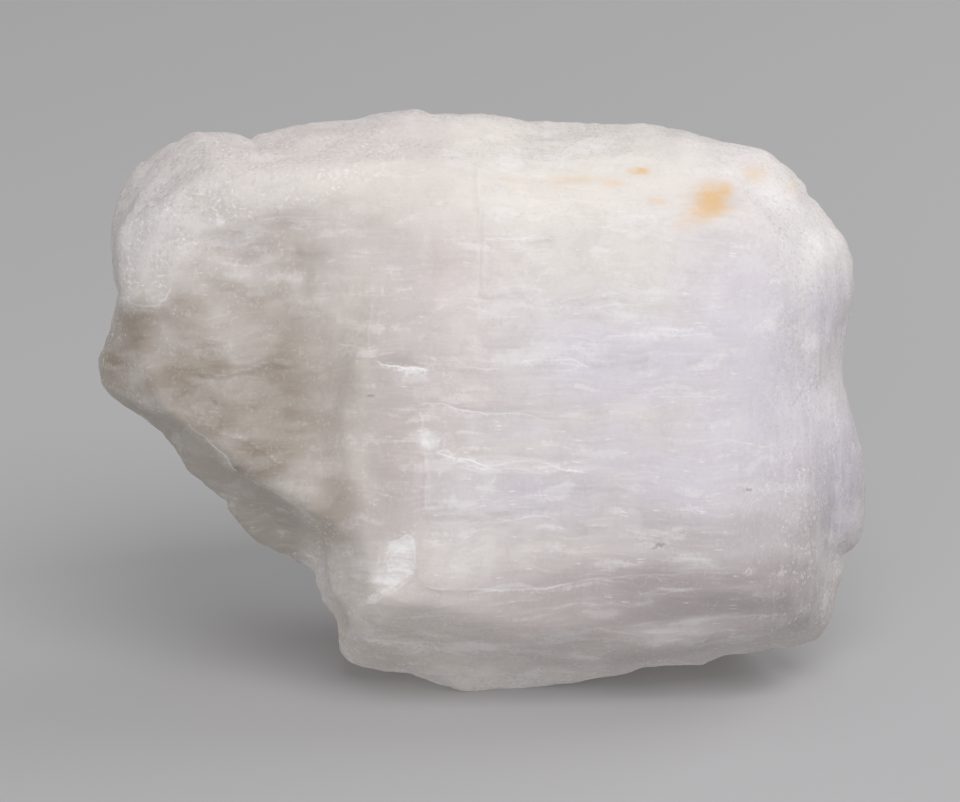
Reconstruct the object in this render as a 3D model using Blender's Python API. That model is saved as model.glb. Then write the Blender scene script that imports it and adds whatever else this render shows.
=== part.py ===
"""A cryolite hand specimen: one massive, milky block that broke along its cleavage.

The stone is modelled in its own frame, in millimetres: X to the right, Z up, and Y away from the
show face. A "height" below is how far a face lies in front of the widest section, which is -Y.
Two prisms, the block and the thinner wing at its left, are split along cleavage planes and fused.
The skin is then stepped into plates, hollows and lumps, leaned back, and cut flat where it rests.
"""

import math

import bmesh
import bpy
import numpy as np
from mathutils import Matrix, Vector, noise

# Driving dimensions, in mm and radians.
WIDTH = 100.0  # the stone's longest side, which the outlines below are drawn for
FRONT_REACH = 26.0  # from the widest section to beyond the show face
BACK_REACH = 30.0  # from the widest section to beyond the back
LEAN = math.radians(16)  # the show face leans back by this when the stone stands
FOOT = (-8.0, -38.1)  # (y, z) of the foot's front, where the resting face starts
METRES = 0.001

SKIN_VOXEL = 0.9  # the fused skin's cell
SKIN_SMOOTHINGS = 4
FACE_SMOOTHINGS = 14  # more of them on the show face, whose corners are rounded
FACE_STARTS = 5.0  # how far in front of the widest section the rounding starts
FACE_FADE = 8.0  # and how much further it is full
TRIANGLES = 9500  # of the skin before the resting face is cut

# The outline seen from the front, clockwise from the notch between the shoulder and the crown.
CROWN_LEFT = [
    (-30.7, 34.5), (-26.5, 35.5), (-21.8, 36.4), (-16.5, 36.9), (-14.0, 37.5),
]
CROWN = [
    (-11.6, 38.0), (-9.0, 38.1), (-6.6, 37.4), (0.0, 37.5), (6.6, 36.5), (8.2, 36.8),
    (10.0, 36.6), (20.5, 36.1), (25.7, 35.5), (28.6, 34.5), (36.4, 33.1),
]
RIGHT_END = [
    (39.3, 31.1), (42.2, 28.1), (45.2, 23.7), (47.1, 21.5), (48.1, 18.3), (48.3, 14.7),
    (46.8, 7.0), (46.8, 2.0), (48.4, -2.5), (49.5, -7.0), (49.9, -12.5), (49.4, -17.0),
    (47.6, -19.9), (46.5, -23.2), (45.1, -28.6), (43.6, -30.8), (40.8, -31.8),
]
UNDERSIDE = [
    (31.4, -33.0), (28.6, -34.2), (23.6, -34.4), (15.2, -36.0), (7.4, -37.0), (2.5, -38.1),
    (-2.6, -38.1), (-5.4, -36.9), (-9.3, -35.5), (-14.2, -34.9), (-17.2, -33.9),
]
LEFT_FOOT = [(-18.7, -32.4), (-19.1, -28.4), (-21.1, -26.0), (-21.9, -23.6)]
LEFT_STEP = [
    (-22.3, -21.9), (-26.5, -19.8), (-29.3, -18.3), (-32.3, -15.2), (-34.6, -12.1), (-38.4, -9.0),
    (-40.5, -5.5), (-43.7, -2.6), (-48.4, 0.6), (-49.9, 2.3),
]
LEFT_NOSE = [(-50.1, 5.0), (-49.0, 8.2), (-47.9, 12.4)]
SHOULDER = [
    (-48.3, 19.0), (-48.5, 23.3), (-46.7, 29.1), (-44.9, 31.4), (-41.1, 33.7), (-37.8, 35.0),
    (-34.0, 35.3),
]

OUTLINE = (
    CROWN_LEFT + CROWN + RIGHT_END + UNDERSIDE + LEFT_FOOT + LEFT_STEP + LEFT_NOSE + SHOULDER
)

# The two prisms overlap: the block ends inside the wing, and the wing inside the block.
BLOCK_OUTLINE = CROWN + RIGHT_END + UNDERSIDE + LEFT_FOOT + [
    (-21.0, -16.0), (-19.6, -6.0), (-17.6, 3.0), (-15.0, 12.0), (-14.0, 24.0),
]
WING_OUTLINE = SHOULDER + CROWN_LEFT + [
    (-11.8, 37.8), (-8.0, 36.4), (-6.0, 20.0), (-8.0, -10.0), (-16.0, -24.0),
] + LEFT_STEP + LEFT_NOSE

# A cleavage plane: where it passes (x, z), its height there, and how much height it gains per mm to
# the right and per mm up. What lies beyond a front or a back plane has split off.
CROWN_PLANES = {
    "brow": ((10.0, 25.0), 18.4, (-0.05, -0.55)),
    "crown bevel": ((10.0, 33.5), 13.4, (0.0, -1.6)),
}
BLOCK_PLANES = CROWN_PLANES | {
    "show face": ((10.0, -22.0), 24.0, (-0.02, -0.07)),
    "lower face": ((10.0, -20.0), 23.8, (-0.05, 0.22)),
    "upper slope": ((10.0, 9.0), 21.9, (-0.03, -0.22)),
    "bottom band": ((10.0, -24.0), 23.6, (-0.08, 0.62)),
    "bottom lip": ((12.0, -31.5), 18.6, (0.12, 1.3)),
    "right turn": ((35.0, 0.0), 21.4, (-0.50, 0.0)),
    "right lip": ((45.0, 0.0), 16.2, (-1.9, 0.0)),
    "upper right corner": ((38.0, 24.0), 16.4, (-0.85, -0.85)),
    "lower right corner": ((42.0, -26.0), 18.2, (-0.8, 0.8)),
    "left turn": ((-14.0, -8.0), 22.8, (0.30, 0.02)),
    "left foot": ((-17.0, -26.0), 18.8, (1.0, 0.25)),
}
WING_PLANES = CROWN_PLANES | {
    "hollow face": ((-20.0, -3.0), 19.8, (0.22, -0.04)),
    "under-bevel": ((-28.6, -10.7), 17.8, (1.24, 1.57)),
    "nose bevel": ((-46.5, 5.0), 11.8, (1.5, 0.1)),
    "shoulder side": ((-43.0, 24.0), 14.2, (0.9, -0.15)),
    "shoulder corner": ((-41.0, 30.0), 12.6, (1.0, -1.0)),
}
BACK_PLANES = {
    "back face": ((4.0, 0.0), -26.5, (0.03, 0.04)),
    "back left": ((-20.0, 0.0), -24.5, (-0.48, 0.05)),
    "back right": ((26.0, 0.0), -24.0, (0.62, -0.04)),
    "back crown": ((0.0, 18.0), -25.5, (-0.06, 0.72)),
    "back shoulder": ((-30.0, 22.0), -14.0, (-0.45, 0.85)),
    "back right corner": ((38.0, 18.0), -12.0, (0.95, 0.80)),
    "back right foot": ((38.0, -20.0), -15.0, (0.8, -0.35)),
    "back left foot": ((-24.0, -12.0), -17.0, (-0.95, -0.55)),
}

# Patches with an edge all round: an outline (x, z), the height of the step (with a minus where it is
# sunk), and the width of its edge.
PATCHES = {
    "shoulder lobe": (
        [(-52.0, 40.0), (-6.0, 40.0), (-14.0, 31.0), (-19.0, 27.0), (-21.6, 24.6), (-27.0, 23.6),
         (-31.0, 21.2), (-36.4, 20.2), (-39.2, 17.0), (-41.2, 12.6), (-44.5, 12.2), (-52.0, 14.5)],
        1.4, 5.0,
    ),
    "scar": (
        [(-12.3, -17.8), (-8.6, -17.0), (-8.6, -22.2), (-11.4, -24.0), (-15.2, -26.0),
         (-13.2, -21.4)],
        -0.6, 1.2,
    ),
    "shelf pit": ([(-24.6, 19.5), (-22.0, 19.0), (-22.2, 12.6), (-24.6, 12.0)], -0.5, 1.8),
}

# Ledges: a broken line (x, z) with the proud side on its left, the height of the step, and how far
# behind the edge the plate has sunk back into the face.
FRONT_LEDGES = {
    "crown step": ([(-0.2, 35.0), (-0.8, 27.0), (-0.5, 20.0), (-1.2, 11.0)], 0.6, 9.0),
    "keystone": ([(-1.5, 21.2), (2.5, 21.6), (6.0, 20.6), (11.0, 21.4)], 0.45, 6.0),
    "brow ledge": ([(-2.0, 13.6), (6.0, 12.8), (14.0, 13.4), (26.0, 12.0)], 0.35, 7.0),
    "middle plate": (
        [(-13.0, 17.0), (-14.0, 6.6), (-12.4, 4.9), (-7.0, 4.0), (-1.0, 4.2), (4.5, 5.6)], 0.45, 10.0,
    ),
    "middle ledge": ([(4.5, 4.3), (9.0, 4.9), (14.0, 4.3), (21.0, 5.4), (31.0, 3.4)], 0.35, 8.0),
    "hollow's edge": (
        [(-20.0, 9.4), (-16.4, 6.4), (-16.8, 2.0), (-15.6, -1.2), (-11.0, -2.0), (-7.0, -1.4)],
        0.5, 7.0,
    ),
    "scoop's top": ([(-9.4, -1.6), (-6.6, -0.2), (-2.0, -1.2), (5.4, -1.5), (12.0, -3.8)], 0.45, 7.0),
    "scoop's foot": ([(19.0, -9.2), (12.0, -8.6), (6.0, -7.7), (0.5, -8.1), (-5.0, -6.6)], 0.5, 7.0),
    "bright plate's side": ([(-7.6, -4.6), (-7.0, -9.0), (-7.4, -15.2)], 0.5, 8.0),
    "bright plate": ([(-8.0, -14.2), (-2.0, -14.8), (5.0, -13.6), (11.0, -14.2)], 0.45, 6.0),
    "belt": (
        [(-10.0, -22.0), (-5.5, -24.0), (4.4, -24.0), (12.8, -22.3), (24.0, -21.8), (38.0, -20.0)],
        0.5, 7.0,
    ),
    "belt's shadow": ([(18.0, -25.2), (26.0, -24.4), (38.0, -23.6)], 0.35, 4.0),
    "left skirt": ([(-17.5, -30.0), (-11.8, -31.0), (-4.0, -30.6), (3.0, -31.4)], 0.6, 5.0),
    "right skirt": ([(8.0, -29.8), (20.0, -28.8), (31.5, -27.4), (45.0, -27.0)], 0.7, 5.0),
    "right scale": ([(30.0, -9.0), (38.0, -8.0), (46.0, -9.5)], 0.45, 7.0),
    "upper right scale": ([(24.0, 20.0), (33.0, 21.5), (41.0, 19.0)], 0.35, 7.0),
    "wing shelf": ([(-42.0, 4.0), (-34.0, 3.0), (-26.0, 4.6), (-20.0, 3.6)], 0.45, 7.0),
    "wing foot": ([(-38.0, -4.0), (-31.0, -5.4), (-24.0, -9.4)], 0.35, 5.0),
}
BACK_LEDGES = {
    "great step": ([(-12.0, 34.0), (-9.0, 18.0), (-13.0, 6.0), (-8.0, -8.0), (-11.0, -20.0)], 1.9, 20.0),
    "shelf": ([(-8.0, 11.0), (4.0, 9.0), (17.0, 12.0), (34.0, 8.0), (46.0, 11.0)], 2.0, 14.0),
    "upper scale": ([(2.0, 25.0), (14.0, 22.0), (26.0, 24.0), (36.0, 20.0)], 1.3, 8.0),
    "left scale": ([(-44.0, 16.0), (-32.0, 12.0), (-22.0, 15.0), (-12.0, 11.0)], 1.5, 11.0),
    "left foot": ([(-38.0, 2.0), (-30.0, -2.0), (-20.0, -1.0), (-10.0, -6.0)], 1.4, 9.0),
    "dish": ([(34.0, -8.0), (24.0, -3.0), (12.0, -5.0), (0.0, -3.0)], 1.7, 10.0),
    "foot plate": ([(-14.0, -21.0), (2.0, -19.0), (18.0, -22.0), (38.0, -18.0)], 1.5, 9.0),
}

# Lumps and dents without a sharp edge: (x, z), radius, and rise.
FRONT_LUMPS = [
    ((-44.0, 25.0), 6.0, 0.8), ((-33.0, 29.0), 8.0, 0.7), ((-39.0, 16.5), 5.0, 0.9),
    ((-28.0, 14.0), 9.0, -1.5), ((-44.0, 8.0), 5.0, -0.9), ((-22.0, -12.0), 8.0, 0.8),
    ((28.0, 27.0), 6.0, -0.6), ((43.0, 3.0), 7.0, -1.0), ((44.0, -11.0), 8.0, 0.8),
    ((20.0, -3.0), 10.0, 0.6), ((6.0, -33.0), 6.0, 0.7), ((30.0, -29.0), 7.0, -0.5),
]
BACK_LUMPS = [
    ((-30.0, 12.0), 13.0, 1.4), ((12.0, 4.0), 16.0, 1.6), ((30.0, 12.0), 9.0, -1.4),
    ((34.0, -18.0), 9.0, 1.0), ((-14.0, -16.0), 8.0, -1.0),
]

# Natural unevenness: how far an edge wanders, and the rise of the swell and of the grain.
EDGE_WIDTH = 1.1
EDGE_WANDER = 1.0
SWELL_RISE = 0.55
GRAIN_RISE = 0.3
BACK_ROUGHNESS = 1.9  # the back is this many times rougher than the show face

# Scales: the cleavage broke the faces into low horizontal steps that overlap like shingles.
SCALE_SPACING = 5.6
SCALE_RISE = 0.3
BACK_SCALE_RISE = 1.1
SCALE_LIP = 0.16  # of the spacing is the scale's steep lower lip

# The side walls draw in from a rim that wanders along the widest section.
RIM_DEPTH = 11.0  # how far from the outline the side walls reach inwards
RIM_WANDER = 4.0
FRONT_DRAFT = 0.14  # drawn in per mm in front of the rim
BACK_DRAFT = 0.15  # and behind it
SIDE_SWELL = 1.5
SIDE_STEP = 6.0  # the spacing of the cleavage steps of the side walls
SIDE_STEP_SHARE = 0.5  # of the draft is gathered into the steps

MILKY_WHITE = (0.80, 0.75, 0.73, 1.0)
ROUGHNESS = 0.42
CRYOLITE_IOR = 1.34


def prism(outline):
    """The outline pushed through the stone's thickness, as a bmesh."""
    bm = bmesh.new()
    face = bm.faces.new([bm.verts.new((x, -FRONT_REACH, z)) for x, z in outline])
    pushed = bmesh.ops.extrude_face_region(bm, geom=[face])["geom"]
    far_end = [item for item in pushed if isinstance(item, bmesh.types.BMVert)]
    bmesh.ops.translate(bm, vec=(0.0, FRONT_REACH + BACK_REACH, 0.0), verts=far_end)
    bmesh.ops.recalc_face_normals(bm, faces=bm.faces)
    return bm


def cut_away(bm, point, outward):
    """Cuts off what lies beyond a plane, and closes the cut with a flat face."""
    cut = bmesh.ops.bisect_plane(
        bm,
        geom=list(bm.verts) + list(bm.edges) + list(bm.faces),
        plane_co=point,
        plane_no=outward,
        clear_outer=True,
    )["geom_cut"]
    bmesh.ops.holes_fill(bm, edges=[item for item in cut if isinstance(item, bmesh.types.BMEdge)])


def cleaved(outline, front_planes):
    """A prism of the outline, split along its front planes and the shared back planes."""
    bm = prism(outline)
    for planes, facing in ((front_planes, 1.0), (BACK_PLANES, -1.0)):
        for (x, z), height, (gain_right, gain_up) in planes.values():
            outward = Vector((-gain_right, -1.0, -gain_up)) * facing
            cut_away(bm, (x, -height, z), outward)
    bmesh.ops.recalc_face_normals(bm, faces=bm.faces)
    return bm


def apply_modifier(obj, kind, **settings):
    """Adds a modifier, and puts its result in the object's mesh."""
    modifier = obj.modifiers.new(kind.title(), kind)
    for setting, value in settings.items():
        setattr(modifier, setting, value)
    graph = bpy.context.evaluated_depsgraph_get()
    made = bpy.data.meshes.new_from_object(obj.evaluated_get(graph))
    obj.modifiers.clear()
    obj.data = made


def fused_stone():
    """The block and the wing as one object with one skin."""
    wing_mesh = bpy.data.meshes.new("wing")
    wing = cleaved(WING_OUTLINE, WING_PLANES)
    wing.to_mesh(wing_mesh)
    wing.free()
    mesh = bpy.data.meshes.new("cryolite")
    block = cleaved(BLOCK_OUTLINE, BLOCK_PLANES)
    block.from_mesh(wing_mesh)
    block.to_mesh(mesh)
    block.free()
    stone = bpy.data.objects.new("cryolite", mesh)
    bpy.context.scene.collection.objects.link(stone)
    apply_modifier(stone, "REMESH", mode="VOXEL", voxel_size=SKIN_VOXEL)
    apply_modifier(stone, "SMOOTH", factor=0.5, iterations=SKIN_SMOOTHINGS)
    soft = stone.vertex_groups.new(name="show face")
    for vertex in stone.data.vertices:
        share = float(eased((-vertex.co.y - FACE_STARTS) / FACE_FADE))
        soft.add([vertex.index], share, "REPLACE")
    apply_modifier(
        stone, "SMOOTH", factor=0.5, iterations=FACE_SMOOTHINGS, vertex_group="show face"
    )
    stone.vertex_groups.clear()
    return stone


def eased(t):
    """0 below 0, 1 above 1, and a smooth ramp between them."""
    t = np.clip(t, 0.0, 1.0)
    return t * t * (3.0 - 2.0 * t)


def segment_gaps(x, z, start, end):
    """Each point's distance to a segment, its distance to the left of the line, and its share along."""
    along_x = end[0] - start[0]
    along_z = end[1] - start[1]
    length = math.hypot(along_x, along_z)
    off_x = x - start[0]
    off_z = z - start[1]
    share = np.clip((off_x * along_x + off_z * along_z) / length**2, 0.0, 1.0)
    gap = np.hypot(off_x - share * along_x, off_z - share * along_z)
    left = (along_x * off_z - along_z * off_x) / length
    return gap, left, share


def depth_inside(x, z, outline):
    """How far each point lies inside a closed outline, negative outside it."""
    nearest = np.full(len(x), np.inf)
    inside = np.zeros(len(x), bool)
    for start, end in zip(outline, outline[1:] + outline[:1]):
        nearest = np.minimum(nearest, segment_gaps(x, z, start, end)[0])
        if start[1] != end[1]:
            crosses = (start[1] > z) != (end[1] > z)
            slope = (end[0] - start[0]) / (end[1] - start[1])
            inside ^= crosses & (x < start[0] + (z - start[1]) * slope)
    return np.where(inside, nearest, -nearest)


def ledge_rise(x, z, line, step, reach):
    """A step along a broken line, that dies out at both ends and sinks back behind its edge."""
    spans = list(zip(line, line[1:]))
    nearest = np.full(len(x), np.inf)
    left = np.zeros(len(x))
    place = np.zeros(len(x))
    for number, (start, end) in enumerate(spans):
        gap, to_left, share = segment_gaps(x, z, start, end)
        # Of two spans that meet at the nearest corner, the one more squarely faced gives the side.
        rank = gap - 1e-6 * np.abs(to_left)
        closer = rank < nearest
        nearest = np.where(closer, rank, nearest)
        left = np.where(closer, np.copysign(gap, to_left), left)
        place = np.where(closer, (number + share) / len(spans), place)
    taper = eased(4.0 * place) * eased(4.0 * (1.0 - place))
    return step * taper * eased(left / EDGE_WIDTH + 0.5) * np.exp(-np.maximum(left, 0.0) / reach)


def swell(points, size, seed):
    """Smooth noise from about -1 to 1 at each point, with features of the given size in mm."""
    offset = Vector((seed, -seed, 2.3 * seed))
    return np.array([noise.noise(Vector(point) / size + offset) for point in points])


def lumps(x, z, table):
    rise = np.zeros(len(x))
    for (at_x, at_z), radius, height in table:
        rise += height * np.exp(-((x - at_x) ** 2 + (z - at_z) ** 2) / (0.5 * radius**2))
    return rise


def scales(level):
    """A saw-tooth from 0 to 1 per scale: a slow rise downwards, and a steep lower lip."""
    place = level - np.floor(level)
    return np.minimum(place / SCALE_LIP, (1.0 - place) / (1.0 - SCALE_LIP))


def gathered(level, spacing, share):
    """How far each level moves towards its nearest cleavage step, by a share of the way."""
    place = level / spacing
    off = place - np.floor(place) - 0.5
    flat = 4.0 * off**3
    return (flat - off) * spacing * share


def carve(stone):
    """Steps the front and the back along Y, and roughens the side walls across it."""
    mesh = stone.data
    points = np.empty(len(mesh.vertices) * 3)
    mesh.vertices.foreach_get("co", points)
    points = points.reshape(-1, 3)
    x, y, z = points.T.copy()

    broad = swell(points, 18.0, 3.1)
    middle = swell(points, 11.0, 12.9)
    grain = swell(points, 6.5, 8.7)
    edge_x = x + EDGE_WANDER * (1.2 * swell(points, 9.0, 21.7) + 0.8 * grain)
    edge_z = z + EDGE_WANDER * (swell(points, 9.0, 33.3) + 0.7 * swell(points, 4.0, 41.9))

    scale_level = z / SCALE_SPACING + 0.5 * broad + 0.45 * middle
    scale_share = eased(0.55 + 1.3 * swell(points * (0.6, 1.0, 1.0), 15.0, 55.1))
    scaly = scale_share * scales(scale_level)
    uneven = SWELL_RISE * broad + GRAIN_RISE * grain
    front_rise = uneven + SCALE_RISE * scaly + lumps(x, z, FRONT_LUMPS)
    back_rise = uneven * BACK_ROUGHNESS + BACK_SCALE_RISE * scaly + lumps(x, z, BACK_LUMPS)
    for outline, step, edge in PATCHES.values():
        front_rise += step * eased(depth_inside(edge_x, edge_z, outline) / edge + 0.5)
    for line, step, reach in FRONT_LEDGES.values():
        front_rise += ledge_rise(edge_x, edge_z, line, step, reach)
    for line, step, reach in BACK_LEDGES.values():
        back_rise += ledge_rise(edge_x, edge_z, line, step, reach)
    in_front = eased((-y - 2.0) / 8.0)
    in_back = eased((y - 2.0) / 9.0)
    points[:, 1] += in_back * back_rise - in_front * front_rise

    from_rim = y + 3.0 + RIM_WANDER * middle
    behind = np.maximum(from_rim - 1.0, 0.0)
    ahead = np.maximum(-from_rim - 1.0, 0.0)
    wall = eased((behind + ahead) / 7.0)
    drawn = BACK_DRAFT * behind + FRONT_DRAFT * ahead
    stepped = gathered(y + 3.0 * broad, SIDE_STEP, SIDE_STEP_SHARE * BACK_DRAFT * 2.0)
    drawn += wall * eased(behind / 5.0) * stepped
    drawn += wall * SIDE_SWELL * (0.8 + broad + 0.5 * grain)
    drawn *= 1.0 - eased(depth_inside(x, z, OUTLINE) / RIM_DEPTH)
    inward = drawn / (0.5 * WIDTH)
    points[:, 0] *= 1.0 - inward
    points[:, 2] *= 1.0 - 1.25 * inward

    mesh.vertices.foreach_set("co", points.ravel())
    mesh.update()


def decimated(stone):
    """Fewer triangles where the skin is flat, and the full number at its ledges."""
    faces = sum(len(polygon.vertices) - 2 for polygon in stone.data.polygons)
    apply_modifier(
        stone, "DECIMATE", ratio=min(1.0, TRIANGLES / faces), use_collapse_triangulate=True
    )


def stood_on_its_foot(stone):
    """Leans the stone back, cuts the resting face, and puts that face at Z = 0, in metres."""
    foot_y, foot_z = FOOT
    floor = (Matrix.Rotation(-LEAN, 3, "X") @ Vector((0.0, foot_y, foot_z))).z
    bm = bmesh.new()
    bm.from_mesh(stone.data)
    bmesh.ops.transform(bm, matrix=Matrix.Rotation(-LEAN, 4, "X"), verts=bm.verts)
    cut_away(bm, (0.0, 0.0, floor), (0.0, 0.0, -1.0))
    bmesh.ops.transform(bm, matrix=Matrix.Translation((0.0, 0.0, -floor)), verts=bm.verts)
    bmesh.ops.scale(bm, vec=(METRES,) * 3, verts=bm.verts)
    bmesh.ops.triangulate(bm, faces=[face for face in bm.faces if len(face.verts) > 3])
    bm.to_mesh(stone.data)
    bm.free()


def finish(stone):
    material = bpy.data.materials.new("milky cryolite")
    material.use_nodes = True
    shader = material.node_tree.nodes["Principled BSDF"]
    shader.inputs["Base Color"].default_value = MILKY_WHITE
    shader.inputs["Roughness"].default_value = ROUGHNESS
    shader.inputs["Metallic"].default_value = 0.0
    shader.inputs["IOR"].default_value = CRYOLITE_IOR
    stone.data.materials.clear()
    stone.data.materials.append(material)


def main():
    for obj in list(bpy.data.objects):
        bpy.data.objects.remove(obj)
    stone = fused_stone()
    carve(stone)
    decimated(stone)
    stood_on_its_foot(stone)
    finish(stone)


main()
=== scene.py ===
"""The looks of a cryolite hand specimen: a milky, cleaved stone that leans back on its foot.

The stone is shaped in its own frame, in millimetres: X to the right, Z up, and Y away from the show
face. A "height" is how far a face lies in front of the widest section, which is -Y. The finished
stone is leaned back, cut flat where it rests, and put in the part's frame, in metres.
"""

import math
from types import SimpleNamespace

import bmesh
import bpy
import numpy as np
from bpy.props import FloatProperty, FloatVectorProperty, IntProperty, PointerProperty
from mathutils import Matrix, Vector, noise


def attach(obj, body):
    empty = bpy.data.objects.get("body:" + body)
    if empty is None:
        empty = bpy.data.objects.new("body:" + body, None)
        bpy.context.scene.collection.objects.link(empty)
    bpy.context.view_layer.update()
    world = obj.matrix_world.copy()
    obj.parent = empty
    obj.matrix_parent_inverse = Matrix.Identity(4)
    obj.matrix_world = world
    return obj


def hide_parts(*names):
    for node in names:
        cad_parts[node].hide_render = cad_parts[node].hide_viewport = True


bl_info = {
    "name": "Cryolite Specimen",
    "version": (1, 0, 0),
    "blender": (4, 5, 0),
    "location": "3D View > Sidebar > Cryolite",
    "description": "Builds a milky cryolite hand specimen and its studio stage",
    "category": "Add Mesh",
}

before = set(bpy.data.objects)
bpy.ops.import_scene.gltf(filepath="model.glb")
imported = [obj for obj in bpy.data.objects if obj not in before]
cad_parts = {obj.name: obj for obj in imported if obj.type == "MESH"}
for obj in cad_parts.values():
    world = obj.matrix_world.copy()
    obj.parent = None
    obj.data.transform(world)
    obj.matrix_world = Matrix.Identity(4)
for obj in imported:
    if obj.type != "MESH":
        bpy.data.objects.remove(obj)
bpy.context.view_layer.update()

MM = 0.001
NODE = "cryolite"

# The outline seen from the front, clockwise from the notch between the shoulder and the crown.
CROWN_LEFT = [(-30.7, 34.5), (-26.5, 35.5), (-21.8, 36.4), (-16.5, 36.9), (-14, 37.5)]
CROWN = [
    (-11.6, 38), (-9, 38.1), (-6.6, 37.4), (0, 37.5), (6.6, 36.5), (8.2, 36.8), (10, 36.6),
    (20.5, 36.1), (25.7, 35.5), (28.6, 34.5), (36.4, 33.1),
]
RIGHT_END = [
    (39.3, 31.1), (42.2, 28.1), (45.2, 23.7), (47.1, 21.5), (48.1, 18.3), (48.3, 14.7), (46.8, 7),
    (46.8, 2), (48.4, -2.5), (49.5, -7), (49.9, -12.5), (49.4, -17), (47.6, -19.9), (46.5, -23.2),
    (45.1, -28.6), (43.6, -30.8), (40.8, -31.8),
]
UNDERSIDE = [
    (31.4, -33), (28.6, -34.2), (23.6, -34.4), (15.2, -36), (7.4, -37), (2.5, -38.1), (-2.6, -38.1),
    (-5.4, -36.9), (-9.3, -35.5), (-14.2, -34.9), (-17.2, -33.9),
]
LEFT_FOOT = [(-18.7, -32.4), (-19.1, -28.4), (-21.1, -26), (-21.9, -23.6)]
LEFT_STEP = [
    (-22.3, -21.9), (-26.5, -19.8), (-29.3, -18.3), (-32.3, -15.2), (-34.6, -12.1), (-38.4, -9),
    (-40.5, -5.5), (-43.7, -2.6), (-48.4, 0.6), (-49.9, 2.3),
]
LEFT_NOSE = [(-50.1, 5), (-49, 8.2), (-47.9, 12.4)]
SHOULDER = [
    (-48.3, 19), (-48.5, 23.3), (-46.7, 29.1), (-44.9, 31.4), (-41.1, 33.7), (-37.8, 35),
    (-34, 35.3),
]
OUTLINE = (
    CROWN_LEFT + CROWN + RIGHT_END + UNDERSIDE + LEFT_FOOT + LEFT_STEP + LEFT_NOSE + SHOULDER
)
BLOCK_OUTLINE = CROWN + RIGHT_END + UNDERSIDE + LEFT_FOOT + [
    (-21.0, -16.0), (-19.6, -6.0), (-17.6, 3.0), (-15.0, 12.0), (-14.0, 24.0),
]
WING_OUTLINE = SHOULDER + CROWN_LEFT + [
    (-11.8, 37.8), (-8.0, 36.4), (-6.0, 20.0), (-8.0, -10.0), (-16.0, -24.0),
] + LEFT_STEP + LEFT_NOSE

# A cleavage plane: where it passes (x, z), its height there, and how much height it gains per mm to
# the right and per mm up. What lies beyond a front or a back plane has split off.
CROWN_PLANES = {
    "brow": ((10.0, 25.0), 18.4, (-0.05, -0.55)),
    "crown bevel": ((10.0, 33.5), 13.4, (0.0, -1.6)),
}
BLOCK_PLANES = CROWN_PLANES | {
    "show face": ((10.0, -22.0), 24.0, (-0.02, -0.07)),
    "lower face": ((10.0, -20.0), 23.8, (-0.05, 0.22)),
    "upper slope": ((10.0, 9.0), 21.9, (-0.03, -0.22)),
    "bottom band": ((10.0, -24.0), 23.6, (-0.08, 0.62)),
    "bottom lip": ((12.0, -31.5), 18.6, (0.12, 1.3)),
    "right turn": ((35.0, 0.0), 21.4, (-0.50, 0.0)),
    "right lip": ((45.0, 0.0), 16.2, (-1.9, 0.0)),
    "upper right corner": ((38.0, 24.0), 16.4, (-0.85, -0.85)),
    "lower right corner": ((42.0, -26.0), 18.2, (-0.8, 0.8)),
    "left turn": ((-14.0, -8.0), 22.8, (0.30, 0.02)),
    "left foot": ((-17.0, -26.0), 18.8, (1.0, 0.25)),
}
WING_PLANES = CROWN_PLANES | {
    "hollow face": ((-20.0, -3.0), 19.8, (0.22, -0.04)),
    "under-bevel": ((-28.6, -10.7), 17.8, (1.24, 1.57)),
    "nose bevel": ((-46.5, 5.0), 11.8, (1.5, 0.1)),
    "shoulder side": ((-43.0, 24.0), 14.2, (0.9, -0.15)),
    "shoulder corner": ((-41.0, 30.0), 12.6, (1.0, -1.0)),
}
BACK_PLANES = {
    "back face": ((4.0, 0.0), -26.5, (0.03, 0.04)),
    "back left": ((-20.0, 0.0), -24.5, (-0.48, 0.05)),
    "back right": ((26.0, 0.0), -24.0, (0.62, -0.04)),
    "back crown": ((0.0, 18.0), -25.5, (-0.06, 0.72)),
    "back shoulder": ((-30.0, 22.0), -14.0, (-0.45, 0.85)),
    "back right corner": ((38.0, 18.0), -12.0, (0.95, 0.80)),
    "back right foot": ((38.0, -20.0), -15.0, (0.8, -0.35)),
    "back left foot": ((-24.0, -12.0), -17.0, (-0.95, -0.55)),
}

# Patches with an edge all round: an outline (x, z), the height of the step, with a minus where it
# is sunk, and the width of its edge.
PATCHES = {
    "shoulder lobe": ([
        (-52, 40), (-6, 40), (-14, 31), (-19, 27), (-21.6, 24.6), (-27, 23.6), (-31, 21.2),
        (-36.4, 20.2), (-39.2, 17), (-41.2, 12.6), (-44.5, 12.2), (-52, 14.5),
    ], 1.4, 5),
    "scar": ([
        (-12.3, -17.8), (-8.6, -17), (-8.6, -22.2), (-11.4, -24), (-15.2, -26), (-13.2, -21.4),
    ], -0.6, 1.2),
    "shelf pit": ([(-24.6, 19.5), (-22, 19), (-22.2, 12.6), (-24.6, 12)], -0.5, 1.8),
}

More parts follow.
